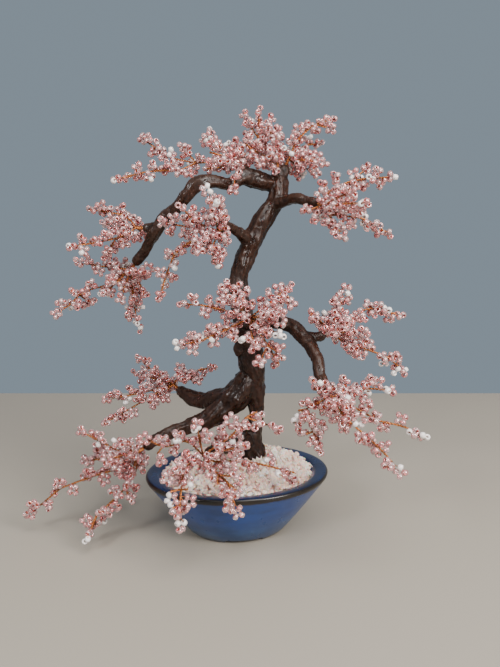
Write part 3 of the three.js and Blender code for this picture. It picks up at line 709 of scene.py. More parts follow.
def model_trunk():
    vertices, faces = [], []
    for number, points in enumerate(limbs.values()):
        limb_vertices, limb_faces = limb_skin(number, points)
        faces += [tuple(len(vertices) + v for v in face) for face in limb_faces]
        vertices += list(limb_vertices)
    trunk = new_object("modelled_trunk", mesh_from("modelled_trunk", vertices, faces))
    clay = trunk.modifiers.new("one_skin", "REMESH")
    clay.mode = "VOXEL"
    clay.voxel_size = clay_grain * mm
    pressed = trunk.modifiers.new("pressed", "SMOOTH")
    pressed.factor = clay_pressure
    pressed.iterations = clay_rounds
    finished(trunk)
    mesh = trunk.data
    places = np.empty(len(mesh.vertices) * 3)
    mesh.vertices.foreach_get("co", places)
    places = places.reshape(-1, 3)
    dents = np.array([pressed_clay(Vector(place) / mm) for place in places])
    places += normals_of(mesh) * dents[:, None] * mm
    mesh.vertices.foreach_set("co", places.ravel())
    mesh.update()
    # How far each place stands out of its neighbours, which the bark's colour uses as painted shade.
    off_mean = (places - neighbours_mean(mesh, places, hollow_reach)) * normals_of(mesh)
    depth = off_mean.sum(axis=1) / (hollow_depth * mm)
    relief = mesh.attributes.new("relief", "FLOAT", "POINT")
    relief.data.foreach_set("value", np.clip(0.5 + 0.5 * depth, 0, 1).astype(np.float32))
    mesh.shade_smooth()
    return trunk


def varnished_bark():
    bark, tree, shader = surface("varnished_bark", (0.03, 0.018, 0.015), 0.3)
    # The colour follows the bark's relief as painted shade: darkest in the dents, lighter on the ridges.
    dent_shade = ramp(
        tree, attribute(tree, "relief"), (0.15, (0.007, 0.003, 0.002)), (0.45, (0.016, 0.006, 0.004)),
        (0.62, (0.026, 0.010, 0.006)), (0.85, (0.048, 0.021, 0.013)))
    patches = ramp(tree, speckle(tree, 130, 5, 0.6),
                   (0.38, (0.014, 0.008, 0.005)), (0.62, (0.038, 0.016, 0.010)))
    grain = speckle(tree, 1500, 4, 0.6, stretch=(1, 1, 0.5))
    varnish = speckle(tree, 240, 3, stretch=(1, 1, 0.6))
    set_inputs(shader, {
        "Base Color": tinted(tree, 0.4, dent_shade, patches), "Normal": bumped(tree, grain, 0.5, 0.2),
        "Roughness": rescaled(tree, varnish, (0.42, 0.58), (0.12, 0.62)), "Specular IOR Level": 0.22,
        "Coat Weight": 0.1, "Coat Roughness": 0.06})
    return bark


trunk = model_trunk()
cover(trunk, varnished_bark())
stands_for(trunk, "trunk_and_boughs")

# ---------------------------------------------------------------------------------------------
# The spray wires: each spray is a bundle of twisted copper wire set into the tip of a bough. It
# fans out into twigs from a hub just past the tip, and side twigs part from them. The twigs are
# listed as the maker bent them; "full" and "pearls" are for the blossoms that they carry.

hub_reach = 2.8          # from the bough's tip
bare_twig = 5            # length before a twig's first blossom
bare_side_twig = 2.6
blossom_pitch = 5
blossom_reach = 2.8      # from the twig to the middle of a blossom
stem_depth = 3           # of the bundle in the bough
twig_depth = 1.5         # of a twig's own wires in the bough
twig_bend = 0.8          # where they leave the bundle
wire_sides = 4

sprays = {
    "crown_left": {
        "bough": "archStub", "seed": 11, "full": 45,
        "pearls": [(229, 143, 2), (149, 177, 1), (113, 181, 1), (210, 128, 1)],
        "twigs": [
            ["hub", (-5, 18, 159), (-15, 23, 159), (-25, 31, 162), (-30, 36, 166), (-36.5, 43, 171.5)],
            [(-15, 23, 159), (-20, 21, 156), (-35, 23, 155), (-48.5, 24, 151.5)],
            ["hub", (0, 4, 152), (-1, 2, 146)], ["hub", (-8, 8, 155), (-14, 6, 155)],
            [(-15, 23, 159), (-20, 30, 167)], ["hub", (-1, 23, 165), (-8, 30, 169), (-6, 34, 175)],
            ["hub", (-1, 16, 167)], ["hub", (6, 8, 163)], ["hub", (-12, 14, 163)], ["hub", (8, 39, 164)]]},
    "crown_top": {
        "bough": "trunk", "seed": 23, "full": 30,
        "pearls": [(336, 121, 2), (290, 146, 1), (318, 145, 1)],
        "twigs": [
            ["hub", (13, 20, 169), (13, 19, 176), (13, 18, 181)], [(13, 20, 169), (8, 26, 180)],
            ["hub", (18, 13, 168), (15, 9, 173)], ["hub", (12, 4, 159)], ["hub", (13, 42, 169)],
            ["hub", (26, 44, 168)], ["hub", (8, 15, 165), (3, 12, 169)], ["hub", (24, 26, 172)],
            [(13, 20, 169), (19, 22, 178)]]},
    "crown_right": {
        "bough": "topStub", "seed": 37, "full": 26,
        "pearls": [(262, 160, 2), (285, 152, 1)],
        "twigs": [
            ["hub", (29, 17, 168), (36, 16, 175), (45, 16, 178)], [(36, 16, 175), (43, 10, 173)],
            ["hub", (33, 22, 167), (42, 25, 169)], ["hub", (30, 11, 160), (39, 6, 158)],
            ["hub", (33, 18, 157), (39, 20, 156)], ["hub", (37, 40, 163)]]},
    "upper_right": {
        "bough": "upperRight", "seed": 41, "full": 32,
        "pearls": [(370, 177, 2), (353, 175, 1), (362, 205, 2), (324, 219, 1), (398, 175, 1)],
        "twigs": [
            ["hub", (36, -11, 146), (47, -10, 150), (63.5, -9, 151.5)], [(47, -10, 150), (54, -4, 155)],
            ["hub", (35, -15, 135), (40, -18, 127)],
            [(35, -15, 135), (46, -15, 135), (53, -14, 133), (61.5, -12, 128)],
            ["hub", (39, -21, 140), (45, -26, 140)], ["hub", (25, -17, 137)], ["hub", (39, -26, 144)],
            ["hub", (47, 9, 142)], ["hub", (40, 7, 138)]]},
    "upper_left": {
        "bough": "upperLeft", "seed": 53, "full": 28,
        "pearls": [
            (216, 202, 2), (210, 190, 2), (202, 247, 2), (177, 269, 1), (161, 280, 2), (215, 270, 1)],
        "twigs": [
            ["hub", (-11, -10, 138), (-14, -12, 145)], ["hub", (-10, -20, 140)],
            ["hub", (-7.5, -14, 135)], ["hub", (-18, -10, 133), (-24, -11, 139)],
            ["hub", (-20, -4, 131), (-30, 1, 133)], ["hub", (-8.5, -18, 128)],
            ["hub", (-12, -13, 122), (-12, -15, 115)], [(-12, -13, 122), (-8, -18, 123)],
            ["hub", (-21, -6, 125), (-26, -3, 120), (-29, -1, 113), (-32, 2, 103)],
            ["hub", (-18, -19, 122)]]},
    "left_second": {
        "bough": "leftStub", "seed": 67, "full": 40,
        "pearls": [(154, 223, 2), (68, 247, 1), (75, 262, 1)],
        "twigs": [
            ["hub", (-41, 21, 133), (-48, 25, 137), (-59.5, 31, 139)],
            ["hub", (-43, 18, 129), (-51, 18, 126), (-68, 19, 123)], [(-51, 18, 126), (-54, 23, 119)],
            ["hub", (-48, 36, 132), (-55, 43, 133)], ["hub", (-37, 32, 128), (-29, 33, 125)]]},
    "left_end": {
        "bough": "arch", "seed": 71, "full": 40,
        "pearls": [(105, 293, 2), (126, 310, 1), (146, 306, 2), (142, 330, 1), (72, 314, 2)],
        "twigs": [
            ["hub", (-56, 29, 114), (-66.5, 33, 116)],
            ["hub", (-54, 27, 106), (-65, 28, 103), (-72, 28, 96), (-77, 28, 94)],
            [(-65, 28, 103), (-62, 33, 97)], ["hub", (-55, 19, 103)], ["hub", (-48, 19, 101)],
            ["hub", (-38, 15, 112)], ["hub", (-38, 22, 103)],
            ["hub", (-43, 28, 102), (-42, 28, 91), (-40, 29, 85)], [(-43, 28, 102), (-45, 23, 94)],
            [(-43, 28, 102), (-38, 32, 96)], ["hub", (-51, 44, 112)], ["hub", (-43, 43, 104)]]},
    "centre": {
        "bough": "centreStub", "seed": 83, "full": 26,
        "pearls": [(204, 329, 3), (210, 340, 1), (175, 346, 2), (241, 334, 2), (279, 336, 4)],
        "twigs": [
            ["hub", (-5, -20, 103), (-12, -21, 107)], ["hub", (-2, -17, 102), (-6, -15, 108)],
            ["hub", (-8, -17, 99), (-17, -15, 101), (-23.5, -11, 101)],
            ["hub", (-8, -22, 92), (-18, -22, 88), (-26, -20, 86.5)], [(-8, -22, 92), (-16, -17, 92)],
            ["hub", (10, -22, 103), (17, -23, 108.5)], [(10, -22, 103), (17, -29, 105)],
            ["hub", (11, -33, 100)], ["hub", (11, -31, 91)], ["hub", (7, -27, 87), (13, -27, 76)],
            [(7, -27, 87), (12, -32, 83)], ["hub", (1, -32, 87)], [(7, -27, 87), (3, -32, 81)]]},
    "right_mid": {
        "bough": "rightStub", "seed": 97, "full": 34,
        "pearls": [
            (389, 303, 2), (345, 326, 2), (337, 334, 1), (324, 311, 1), (346, 291, 1), (406, 364, 1),
            (408, 374, 2)],
        "twigs": [
            ["hub", (36, -23, 97), (39, -24, 107)], [(36, -23, 97), (32, -27, 102)],
            ["hub", (26, -26, 97)], ["hub", (45, -23, 98), (51, -22, 99), (64.8, -19, 95.5)],
            [(51, -22, 99), (57, -25, 101)],
            ["hub", (37, -24, 87), (45, -24, 84), (58, -22, 79), (67, -19, 72)], ["hub", (44, -31, 91)],
            ["hub", (34, -39, 95)], ["hub", (50, -1, 88)], ["hub", (41, -2, 93)]]},
    "right_low": {
        "bough": "right", "seed": 101, "full": 26,
        "pearls": [
            (320, 382, 1), (368, 391, 2), (387, 390, 2), (349, 398, 1), (292, 411, 2), (359, 429, 2),
            (410, 431, 1), (428, 440, 2), (400, 469, 1)],
        "twigs": [
            ["hub", (33, -43, 71), (40, -43, 72), (50, -44, 71)],
            ["hub", (37, -46, 65), (44, -48, 61), (53, -51, 59), (60, -54, 55.5)],
            ["hub", (32, -49, 62), (39, -52, 56), (44, -55, 51), (48.5, -59, 45)], ["hub", (19, -44, 74)],
            ["hub", (18, -41, 64), (21, -42, 57), (24, -42, 49)], [(18, -41, 64), (13, -41, 64)],
            [(21, -42, 57), (16, -46, 56)], [(21, -42, 57), (28, -39, 55)],
            [(18, -41, 64), (21, -49, 63)], ["hub", (27, -60, 71)], ["hub", (40, -26, 64)],
            ["hub", (32, -26, 61)]]},
    "mid_left": {
        "bough": "midLeft", "seed": 113, "full": 30,
        "pearls": [(126, 404, 2), (175, 374, 1)],
        "twigs": [
            ["hub", (-34, 36, 63), (-42, 39.5, 70)], ["hub", (-22, 32, 63), (-7, 29, 66)],
            ["hub", (-24, 27, 62), (-15, 21, 62)], ["hub", (-43, 32, 54), (-57, 33, 52)],
            ["hub", (-35, 29, 54), (-50, 28, 46), (-57.5, 27, 42.5)], [(-50, 28, 46), (-46, 21, 47)],
            ["hub", (-35, 21, 54)], ["hub", (-43, 46, 61)], ["hub", (-28, 56, 53)],
            ["hub", (-37, 54, 51)]]},
    "lower_left": {
        "bough": "lowerLeft", "seed": 127, "full": 26,
        "pearls": [(132, 446, 2), (90, 540, 2), (104, 528, 1), (129, 480, 1), (97, 446, 1), (115, 440, 1)],
        "twigs": [
            ["hub", (-49, 3, 36), (-57, 8, 39), (-66.5, 12, 43.5)],
            ["hub", (-54, 10, 32), (-65.5, 18, 28)],
            ["hub", (-49, 1, 30), (-57, 3, 28), (-68, 5, 24), (-76, 6, 21), (-89.3, 9, 9.3)],
            ["hub", (-47, -4, 25), (-54, -7, 19), (-60, -9, 15), (-63.5, -12.5, 8)],
            ["hub", (-44, -6, 29)], [(-47, -4, 25), (-47, -11, 22)], [(-60, -9, 15), (-63, -5, 6)],
            ["hub", (-47, -11, 45)], ["hub", (-55, -8, 38)], ["hub", (-50, 24, 30)],
            ["hub", (-61, 28, 27)]]},
    "front": {
        "bough": "front", "seed": 131, "full": 11,
        "pearls": [
            (197, 427, 2), (180, 444, 2), (232, 442, 1), (219, 491, 2), (195, 490, 1), (163, 494, 3),
            (178, 522, 2), (262, 463, 1)],
        "twigs": [
            ["hub", (-8, -33, 53), (-3, -36, 61), (3, -39, 65)], [(-3, -36, 61), (6, -43, 59)],
            ["hub", (-6, -44, 53)], ["hub", (-24, -28, 51), (-32, -24, 47), (-40, -21, 50)],
            [(-32, -24, 47), (-37, -22, 42)], ["hub", (-21, -34, 58)],
            ["hub", (-14, -32, 43), (-5, -32, 43), (5, -31, 40), (20, -31, 35)],
            ["hub", (-26, -34, 41), (-27, -36, 37), (-28, -37, 31), (-28, -40, 22)],
            [(-27, -36, 37), (-24, -42, 37)], [(-27, -36, 37), (-34, -36, 34)],
            [(-28, -37, 31), (-33, -42, 29)], [(-28, -37, 31), (-23, -36, 27)],
            ["hub", (-15, -36, 41), (-10, -39, 37), (-9, -40, 32), (-7, -42, 26.5)],
            [(-10, -39, 37), (-5, -46, 34)], [(-15, -36, 41), (-8, -45, 42)],
            [(-15, -36, 41), (-15, -44, 37)], ["hub", (-32, -41, 42)]]},
}


def bough_end(name):
    """The end of the bough that carries a spray, and the direction that it points in."""
    before, end = (np.array(row[:3], float) for row in limbs[sprays[name]["bough"]][-2:])
    return end, unit(end - before)


def hub_of(name):
    end, outward = bough_end(name)
    return end + outward * hub_reach


def stations_of(points, bare_length):
    """The twig's root, the end of its bare stretch, and then one stop for each blossom."""
    legs = [np.linalg.norm(b - a) for a, b in zip(points, points[1:])]
    whole = sum(legs) - blossom_reach
    bare = min(bare_length, whole / 2)
    count = max(1, math.floor((whole - bare) / blossom_pitch + 0.5))
    stations = []
    for stop in [0, *(bare + (whole - bare) * i / count for i in range(count + 1))]:
        leg, left = 0, stop
        while leg < len(legs) - 1 and left > legs[leg]:
            left -= legs[leg]
            leg += 1
        stations.append(points[leg] + (points[leg + 1] - points[leg]) * min(1, left / legs[leg]))
    return stations


def lay_twigs(name):
    """Each twig of a spray: its stations, from the hub or from the nearest stop of another twig."""
    laid = []
    for start, *others in sprays[name]["twigs"]:
        from_hub = start == "hub"
        if from_hub:
            root = hub_of(name)
        else:
            stops = [stop for twig in laid for stop in twig["stations"]]
            root = min(stops, key=lambda stop: np.linalg.norm(stop - np.array(start, float)))
        points = [root, *(np.array(p, float) for p in others)]
        stations = stations_of(points, bare_twig if from_hub else bare_side_twig)
        laid.append({"from_hub": from_hub, "stations": stations, "frames": frames_of(stations)})
    return laid


def circle(tree, sides, radius):
    return node(tree, "GeometryNodeCurvePrimitiveCircle", {"Resolution": sides, "Radius": radius})


def wire_tree():
    """Lays wire along each line: one strand, or several twisted round each other."""
    tree, given, result = new_tree("twisted_wire", Strands="Int", Wire_Radius="Float", Lay_Radius="Float",
                                   Lay_Length="Float", Step="Float", Metal="Material")
    curve = node(tree, "GeometryNodeMeshToCurve", {"Mesh": given["Geometry"]})
    bent = node(tree, "GeometryNodeCurveSplineType", {"Curve": curve}, spline_type="CATMULL_ROM")
    even = node(tree, "GeometryNodeResampleCurve", {"Curve": bent, "Length": given["Step"]}, mode="LENGTH")
    strands = node(tree, "GeometryNodeDuplicateElements", {"Geometry": even, "Amount": given["Strands"]},
                   domain="SPLINE")
    travelled = node(tree, "GeometryNodeSplineParameter", out="Length")
    turns = maths(tree, "DIVIDE", travelled, given["Lay Length"])
    share = maths(tree, "DIVIDE", strands.node.outputs["Duplicate Index"], given["Strands"])
    angle = maths(tree, "MULTIPLY", maths(tree, "ADD", turns, share), 2 * math.pi)
    normal = node(tree, "GeometryNodeInputNormal")
    tangent = node(tree, "GeometryNodeInputTangent")
    side = vectors(tree, "CROSS_PRODUCT", tangent, normal)

    def part(direction, kind):
        reach = maths(tree, "MULTIPLY", maths(tree, kind, angle), given["Lay Radius"])
        return node(tree, "ShaderNodeVectorMath", {0: direction, "Scale": reach}, operation="SCALE")

    offset = vectors(tree, "ADD", part(normal, "COSINE"), part(side, "SINE"))
    twisted = node(tree, "GeometryNodeSetPosition", {"Geometry": strands, "Offset": offset})
    section = circle(tree, wire_sides, given["Wire Radius"])
    drawn = node(tree, "GeometryNodeCurveToMesh", {
        "Curve": twisted, "Profile Curve": section, "Fill Caps": True})
    smooth = node(tree, "GeometryNodeSetShadeSmooth", {"Geometry": drawn, "Shade Smooth": True})
    real = node(tree, "GeometryNodeRealizeInstances", {"Geometry": smooth})
    set_inputs(result, {"Geometry": made_of(tree, real, given["Metal"])})
    return tree


def copper_wire():
    copper, tree, shader = surface("copper_wire", (0.50, 0.18, 0.07), 0.35)
    tarnish = speckle(tree, 160, 3)
    set_inputs(shader, {
        "Base Color": ramp(tree, tarnish, (0.35, (0.24, 0.08, 0.03)), (0.65, (0.60, 0.22, 0.07))),
        "Metallic": 0.85})
    return copper


wire_maker = wire_tree()
copper = copper_wire()


def lay_wire(name, lines, strands, radius, lay_radius, lay_length, step):
    """Copper wire along open lines, each given by its own points; all measures in millimetres."""
    vertices, edges = [], []
    for line in lines:
        edges += [(len(vertices) + k, len(vertices) + k + 1) for k in range(len(line) - 1)]
        vertices += [at(*p) for p in line]
    return run_tree(name, mesh_from(name, vertices, edges=edges), wire_maker, Strands=strands,
                    Wire_Radius=radius * mm, Lay_Radius=lay_radius * mm, Lay_Length=lay_length * mm,
                    Step=step * mm, Metal=copper)


def twig_line(name, twig):
    """A twig's own wires, which start inside the bough where they come from its end."""
    if not twig["from_hub"]:
        return twig["stations"]
    end, outward = bough_end(name)
    return [end - outward * twig_depth, end + outward * twig_bend, *twig["stations"]]


twigs_of = {name: lay_twigs(name) for name in sprays}
for name in sprays:
    end, outward = bough_end(name)
    stem = lay_wire(f"{name}_stem", [[end - outward * stem_depth, end, hub_of(name)]],
                    strands=6, radius=0.26, lay_radius=0.5, lay_length=5.5, step=0.4)
    twigs = lay_wire(f"{name}_twigs", [twig_line(name, twig) for twig in twigs_of[name]],
                     strands=2, radius=0.24, lay_radius=0.23, lay_length=2.6, step=0.42)
    stands_for(stem, f"spray_{name}")
    stands_for(twigs, f"spray_{name}")

# ---------------------------------------------------------------------------------------------
# The blossoms: small round loops of thin copper wire, threaded with three to six glass beads whose
# holes are lined in pink metal. They stand all round each twig and at its tip, clear of the wood,
# the pot and each other, and some have a few white pearl beads.

blossom_radius = 2.7
blossom_gap = 0.4
crowding = 4.7           # least distance between the middles of two blossoms on one spray
wire_radius = 0.5
pot_margin = 3
chip_relief = 0.55       # of the loose chips above the heap
ridge_allowance = 1.09   # of the bark's ridges over a limb's radius
twig_sides = 3           # that the blossoms stand on by turns
least_lean = 0.7         # of a blossom away from its twig, as a share of a right angle
lean_spread = 0.28
roll_spread = 1.5

wood_legs = [(a[:3], b[:3], ridge_allowance * max(a[3], b[3]))
             for points in limbs.values() for a, b in zip(points, points[1:])]
wood_starts = np.array([leg[0] for leg in wood_legs], float)
wood_ends = np.array([leg[1] for leg in wood_legs], float)
wood_radii = np.array([leg[2] for leg in wood_legs])
wire_legs = [(a, b, name) for name, twigs in twigs_of.items()
             for twig in twigs for a, b in zip(twig["stations"], twig["stations"][1:])]
wire_starts = np.array([leg[0] for leg in wire_legs])
wire_ends = np.array([leg[1] for leg in wire_legs])
wire_sprays = np.array([leg[2] for leg in wire_legs])
standing = []            # the middles of the blossoms placed so far, with their sprays


def seeded(seed):
    """Park and Miller's generator, which every spray draws its blossoms' places from."""
    state = seed
    while True:
        state = state * 16807 % 2147483647
        yield state / 2147483647


def distances_to_legs(p, starts, ends):
    legs = ends - starts
    share = np.clip(((p - starts) * legs).sum(axis=1) / (legs * legs).sum(axis=1), 0, 1)
    return np.linalg.norm(p - starts - legs * share[:, None], axis=1)


def clear_of_pot(p):
    if p[2] < blossom_radius + blossom_gap:
        return False
    if math.hypot(p[0] / (pot_half + pot_margin), p[1] / (oval_ratio * pot_half + pot_margin)) >= 1:
        return True
    ground = max(pot_height, heap_height(p[0], p[1]) + chip_relief)
    return p[2] > ground + blossom_radius + blossom_gap


def has_room(p, spray):
    wood_reach = wood_radii + blossom_radius + blossom_gap
    if (distances_to_legs(p, wood_starts, wood_ends) <= wood_reach).any() or not clear_of_pot(p):
        return False
    for other, other_spray in standing:
        least = crowding if other_spray == spray else 2 * blossom_radius + blossom_gap
        if np.linalg.norm(p - other) < least:
            return False
    others = wire_sprays != spray
    reach = distances_to_legs(p, wire_starts[others], wire_ends[others])
    return bool((reach > blossom_radius + wire_radius + blossom_gap).all())


def blossom_at(root, outward, plane):
    """A blossom's root and middle, and its directions: out from the root, along its loop, across it."""
    along = unit(plane - outward * plane.dot(outward))
    return {"root": root, "middle": root + outward * blossom_reach, "outward": outward, "along": along,
            "face": np.cross(along, outward)}


def place_blossoms(name, twig, draw):
    """Stands a blossom at each stop of a twig where there is room, and one on its tip."""
    stations, frames = twig["stations"], twig["frames"]
    placed = []

    def stands(blossom):
        free = has_room(blossom["middle"], name)
        if free:
            placed.append(blossom)
            standing.append((blossom["middle"], name))
        return free

    first_side = math.floor(next(draw) * twig_sides)
    for i in range(1, len(stations) - 1):
        lean = (least_lean + lean_spread * next(draw)) * math.pi / 2
        roll = roll_spread * (next(draw) - 0.5)
        forward, normal, side = frames[i]
        for attempt in range(twig_sides):
            angle = ((first_side + i + attempt) % twig_sides + 0.5) / twig_sides * 2 * math.pi
            radial = swung(normal, side, angle)
            outward = unit(swung(forward, radial, lean))
            plane = swung(forward, np.cross(forward, radial), roll)
            if stands(blossom_at((stations[i] + stations[i + 1]) / 2, outward, plane)):
                break
    forward, normal, side = frames[-1]
    stands(blossom_at(stations[-1], forward, swung(normal, side, 2 * math.pi * next(draw))))
    return placed


bead_diameter = 2.65
bead_length = 1.95
bead_sides = 10
bead_section_sides = 7
lined_share = 0.75       # of a bead's wall, counted from its hole
bead_spread = 0.05       # of the beads' sizes
pearl_spread = 0.04
hole_diameter = 0.9
pearl_diameter = 2.5
pearl_length = 1.9
loop_radius = {3: 1.32, 4: 1.6, 5: 1.86, 6: 2.12}
least_stalk = 0.1        # of bare twisted wire between a twig and a loop's first beads
large_loop = ([4, 5, 4, 5, 5, 6, 5, 4], 1.0)      # numbers of beads to choose from, and longest stalk
small_loop = ([3, 4, 4], 0.45)
pucker = 0.42            # of the beads off the loop's plane, by turns to one side and the other
pucker_spread = 0.12
radius_spread = 0.08
tilt = 0.22
nearest_beads = 2.1      # between the middles of two blossoms' beads
most_shift = 1.2         # of a whole blossom, in at most so many rounds
push_rounds = 30
push_share = 0.25
loop_wires_apart = 0.16  # at the twig


def thread_loop(blossom, draw, loop):
    """Gives a blossom its beads: their middles and the directions of their holes."""
    counts, longest_stalk = loop
    count = counts[draw.integers(len(counts))]
    radius = loop_radius[count]
    outward, along, face = blossom["outward"], blossom["along"], blossom["face"]
    stalk = draw.uniform(least_stalk, longest_stalk)
    middle = blossom["root"] + outward * (radius * math.cos(math.pi / count) + bead_diameter / 2 + stalk)
    sign = 1 if draw.random() < 0.5 else -1
    beads, holes = [], []
    for k in range(count):
        angle = (k + 0.5) / count * 2 * math.pi
        out = -swung(outward, along, angle)
        tangent = swung(-along, outward, angle)
        lift = pucker * sign * (1 if k % 2 else -1) + draw.uniform(-pucker_spread, pucker_spread)
        beads.append(middle + out * (radius + draw.uniform(-radius_spread, radius_spread)) + face * lift)
        holes.append(unit(tangent + face * draw.uniform(-tilt, tilt) + out * draw.uniform(-tilt, tilt)))
    return {**blossom, "middle": middle, "beads": np.array(beads), "holes": np.array(holes)}


def push_apart(blossoms):
    """Moves whole blossoms a little, until the beads of neighbours no longer sit in each other."""
    owner = np.concatenate([[i] * len(b["beads"]) for i, b in enumerate(blossoms)])
    beads = np.concatenate([b["beads"] for b in blossoms])
    shift = np.zeros((len(blossoms), 3))
    for _ in range(push_rounds):
        places = beads + shift[owner]
        tree = kdtree.KDTree(len(places))
        for i, place in enumerate(places):
            tree.insert(place, i)
        tree.balance()
        push = np.zeros_like(shift)
        for i, place in enumerate(places):
            for _, j, apart in tree.find_range(place, nearest_beads):
                if owner[j] != owner[i]:
                    push[owner[i]] += (nearest_beads - apart) / max(apart, 0.05) * (place - places[j])
        shift += push_share * push
        length = np.linalg.norm(shift, axis=1, keepdims=True)
        shift *= np.minimum(1, most_shift / np.maximum(length, 1e-9))
        if not push.any():
            break
    for blossom, move in zip(blossoms, shift):
        blossom["beads"] = blossom["beads"] + move
        blossom["middle"] = blossom["middle"] + move


# Between the main blossoms the maker added more loops near the hub, and small ones farther out,
# up to "full" of each spray, counted along the straight line from its hub.

fill_pitch = 2.6
fill_tries = 5
dense_reach = 13         # from the hub, beyond which the loops are small ones
first_fill = 0.45        # share of a twig's bare stretch that stays bare
least_fill_lean = 0.5    # as least_lean
most_dense_lean, most_far_lean = 1.0, 0.8
nearest_wire = 1.35
look_round = 6           # from a loop's middle, for other beads
full_flowers = ("front", "lower_left")      # sprays whose outer main loops are as large as the inner ones


def main_loop(name, root):
    far = np.linalg.norm(root - hub_of(name)) > dense_reach
    return small_loop if far and name not in full_flowers else large_loop


def has_bead_room(blossom, beads):
    near = beads[np.linalg.norm(beads - blossom["middle"], axis=1) < look_round]
    if len(near) and np.linalg.norm(near[:, None] - blossom["beads"][None], axis=2).min() < nearest_beads:
        return False
    for bead in blossom["beads"]:
        wood_reach = wood_radii + blossom_gap + bead_diameter / 2
        if (distances_to_legs(bead, wood_starts, wood_ends) <= wood_reach).any() or not clear_of_pot(bead):
            return False
        if distances_to_legs(bead, wire_starts, wire_ends).min() < nearest_wire:
            return False
    return True


def fill_in(name, beads, draw):
    """The loops added on one spray, and all beads of the tree with theirs."""
    added = []
    hub = hub_of(name)
    for twig in twigs_of[name]:
        stations, frames = twig["stations"], twig["frames"]
        for i, (start, end) in enumerate(zip(stations, stations[1:])):
            leg = end - start
            length = np.linalg.norm(leg)
            _, normal, side = frames[i]
            for stop in np.arange(length * first_fill if i == 0 else 0, length, fill_pitch):
                root = start + leg * stop / length
                reach = np.linalg.norm(root - hub)
                if reach > sprays[name]["full"]:
                    break
                dense = reach < dense_reach
                most_lean = most_dense_lean if dense else most_far_lean
                for _ in range(fill_tries):
                    lean = draw.uniform(least_fill_lean, most_lean) * math.pi / 2
                    angle, roll = draw.uniform(0, 2 * math.pi, 2)
                    outward = unit(swung(leg / length, swung(normal, side, angle), lean))
                    across = unit(np.cross(outward, normal))
                    plane = swung(across, np.cross(outward, across), roll)
                    loop = thread_loop(blossom_at(root, outward, plane), draw,
                                       large_loop if dense else small_loop)
                    if has_bead_room(loop, beads):
                        added.append(loop)
                        beads = np.concatenate([beads, loop["beads"]])
                        break
    return added, beads


chance = np.random.default_rng(29)
blossoms_of = {}
for name, spray in sprays.items():
    numbers = seeded(spray["seed"])
    blossoms_of[name] = [thread_loop(blossom, chance, main_loop(name, blossom["root"]))
                         for twig in twigs_of[name] for blossom in place_blossoms(name, twig, numbers)]
push_apart([blossom for blossoms in blossoms_of.values() for blossom in blossoms])
strung = np.concatenate([blossom["beads"] for blossoms in blossoms_of.values() for blossom in blossoms])
for name in sprays:
    more, strung = fill_in(name, strung, chance)
    blossoms_of[name] += more

frame_width = 500        # of what the viewer sees, in the units of "pearls"
frame_height = 667
hidden_pearls = 0.12     # share of the loops behind the hub with a pair of pearls
behind_hub = 2           # least distance behind it


def seen_at(place):
    """Where the viewer sees a place, counted from the frame's upper left corner."""
    right = sight.cross(Vector((0, 0, 1))).normalized()
    up = right.cross(sight)
    line = np.array(at(*place)) - np.array(eye)
    reach = viewer.data.lens / viewer.data.sensor_width * frame_height
    depth = line.dot(np.array(sight))
    return np.array([frame_width / 2 + reach * line.dot(np.array(right)) / depth,
                     frame_height / 2 - reach * line.dot(np.array(up)) / depth])


def choose_pearls(name, blossoms, draw):
    """Which beads of which loops are pearls: those seen nearest to the places given, and a few behind."""
    places = [np.array([seen_at(bead) for bead in blossom["beads"]]) for blossom in blossoms]
    hub = hub_of(name)
    whites = {}
    for x, y, count in sprays[name]["pearls"]:
        away = [np.linalg.norm(seen - np.array([x, y]), axis=1) for seen in places]
        best = min((i for i in range(len(blossoms)) if i not in whites), key=lambda i: away[i].min())
        size = len(away[best])
        first = np.argsort(away[best])[0]
        onward = 1 if away[best][(first + 1) % size] < away[best][(first - 1) % size] else -1
        whites[best] = {(first + onward * k) % size for k in range(count)}
    for i, blossom in enumerate(blossoms):
        behind = (blossom["middle"] - hub).dot(np.array(sight)) > behind_hub
        if i not in whites and behind and draw.random() < hidden_pearls:
            size = len(blossom["beads"])
            first = int(draw.integers(size))
            whites[i] = {first, (first + 1) % size}
    return whites


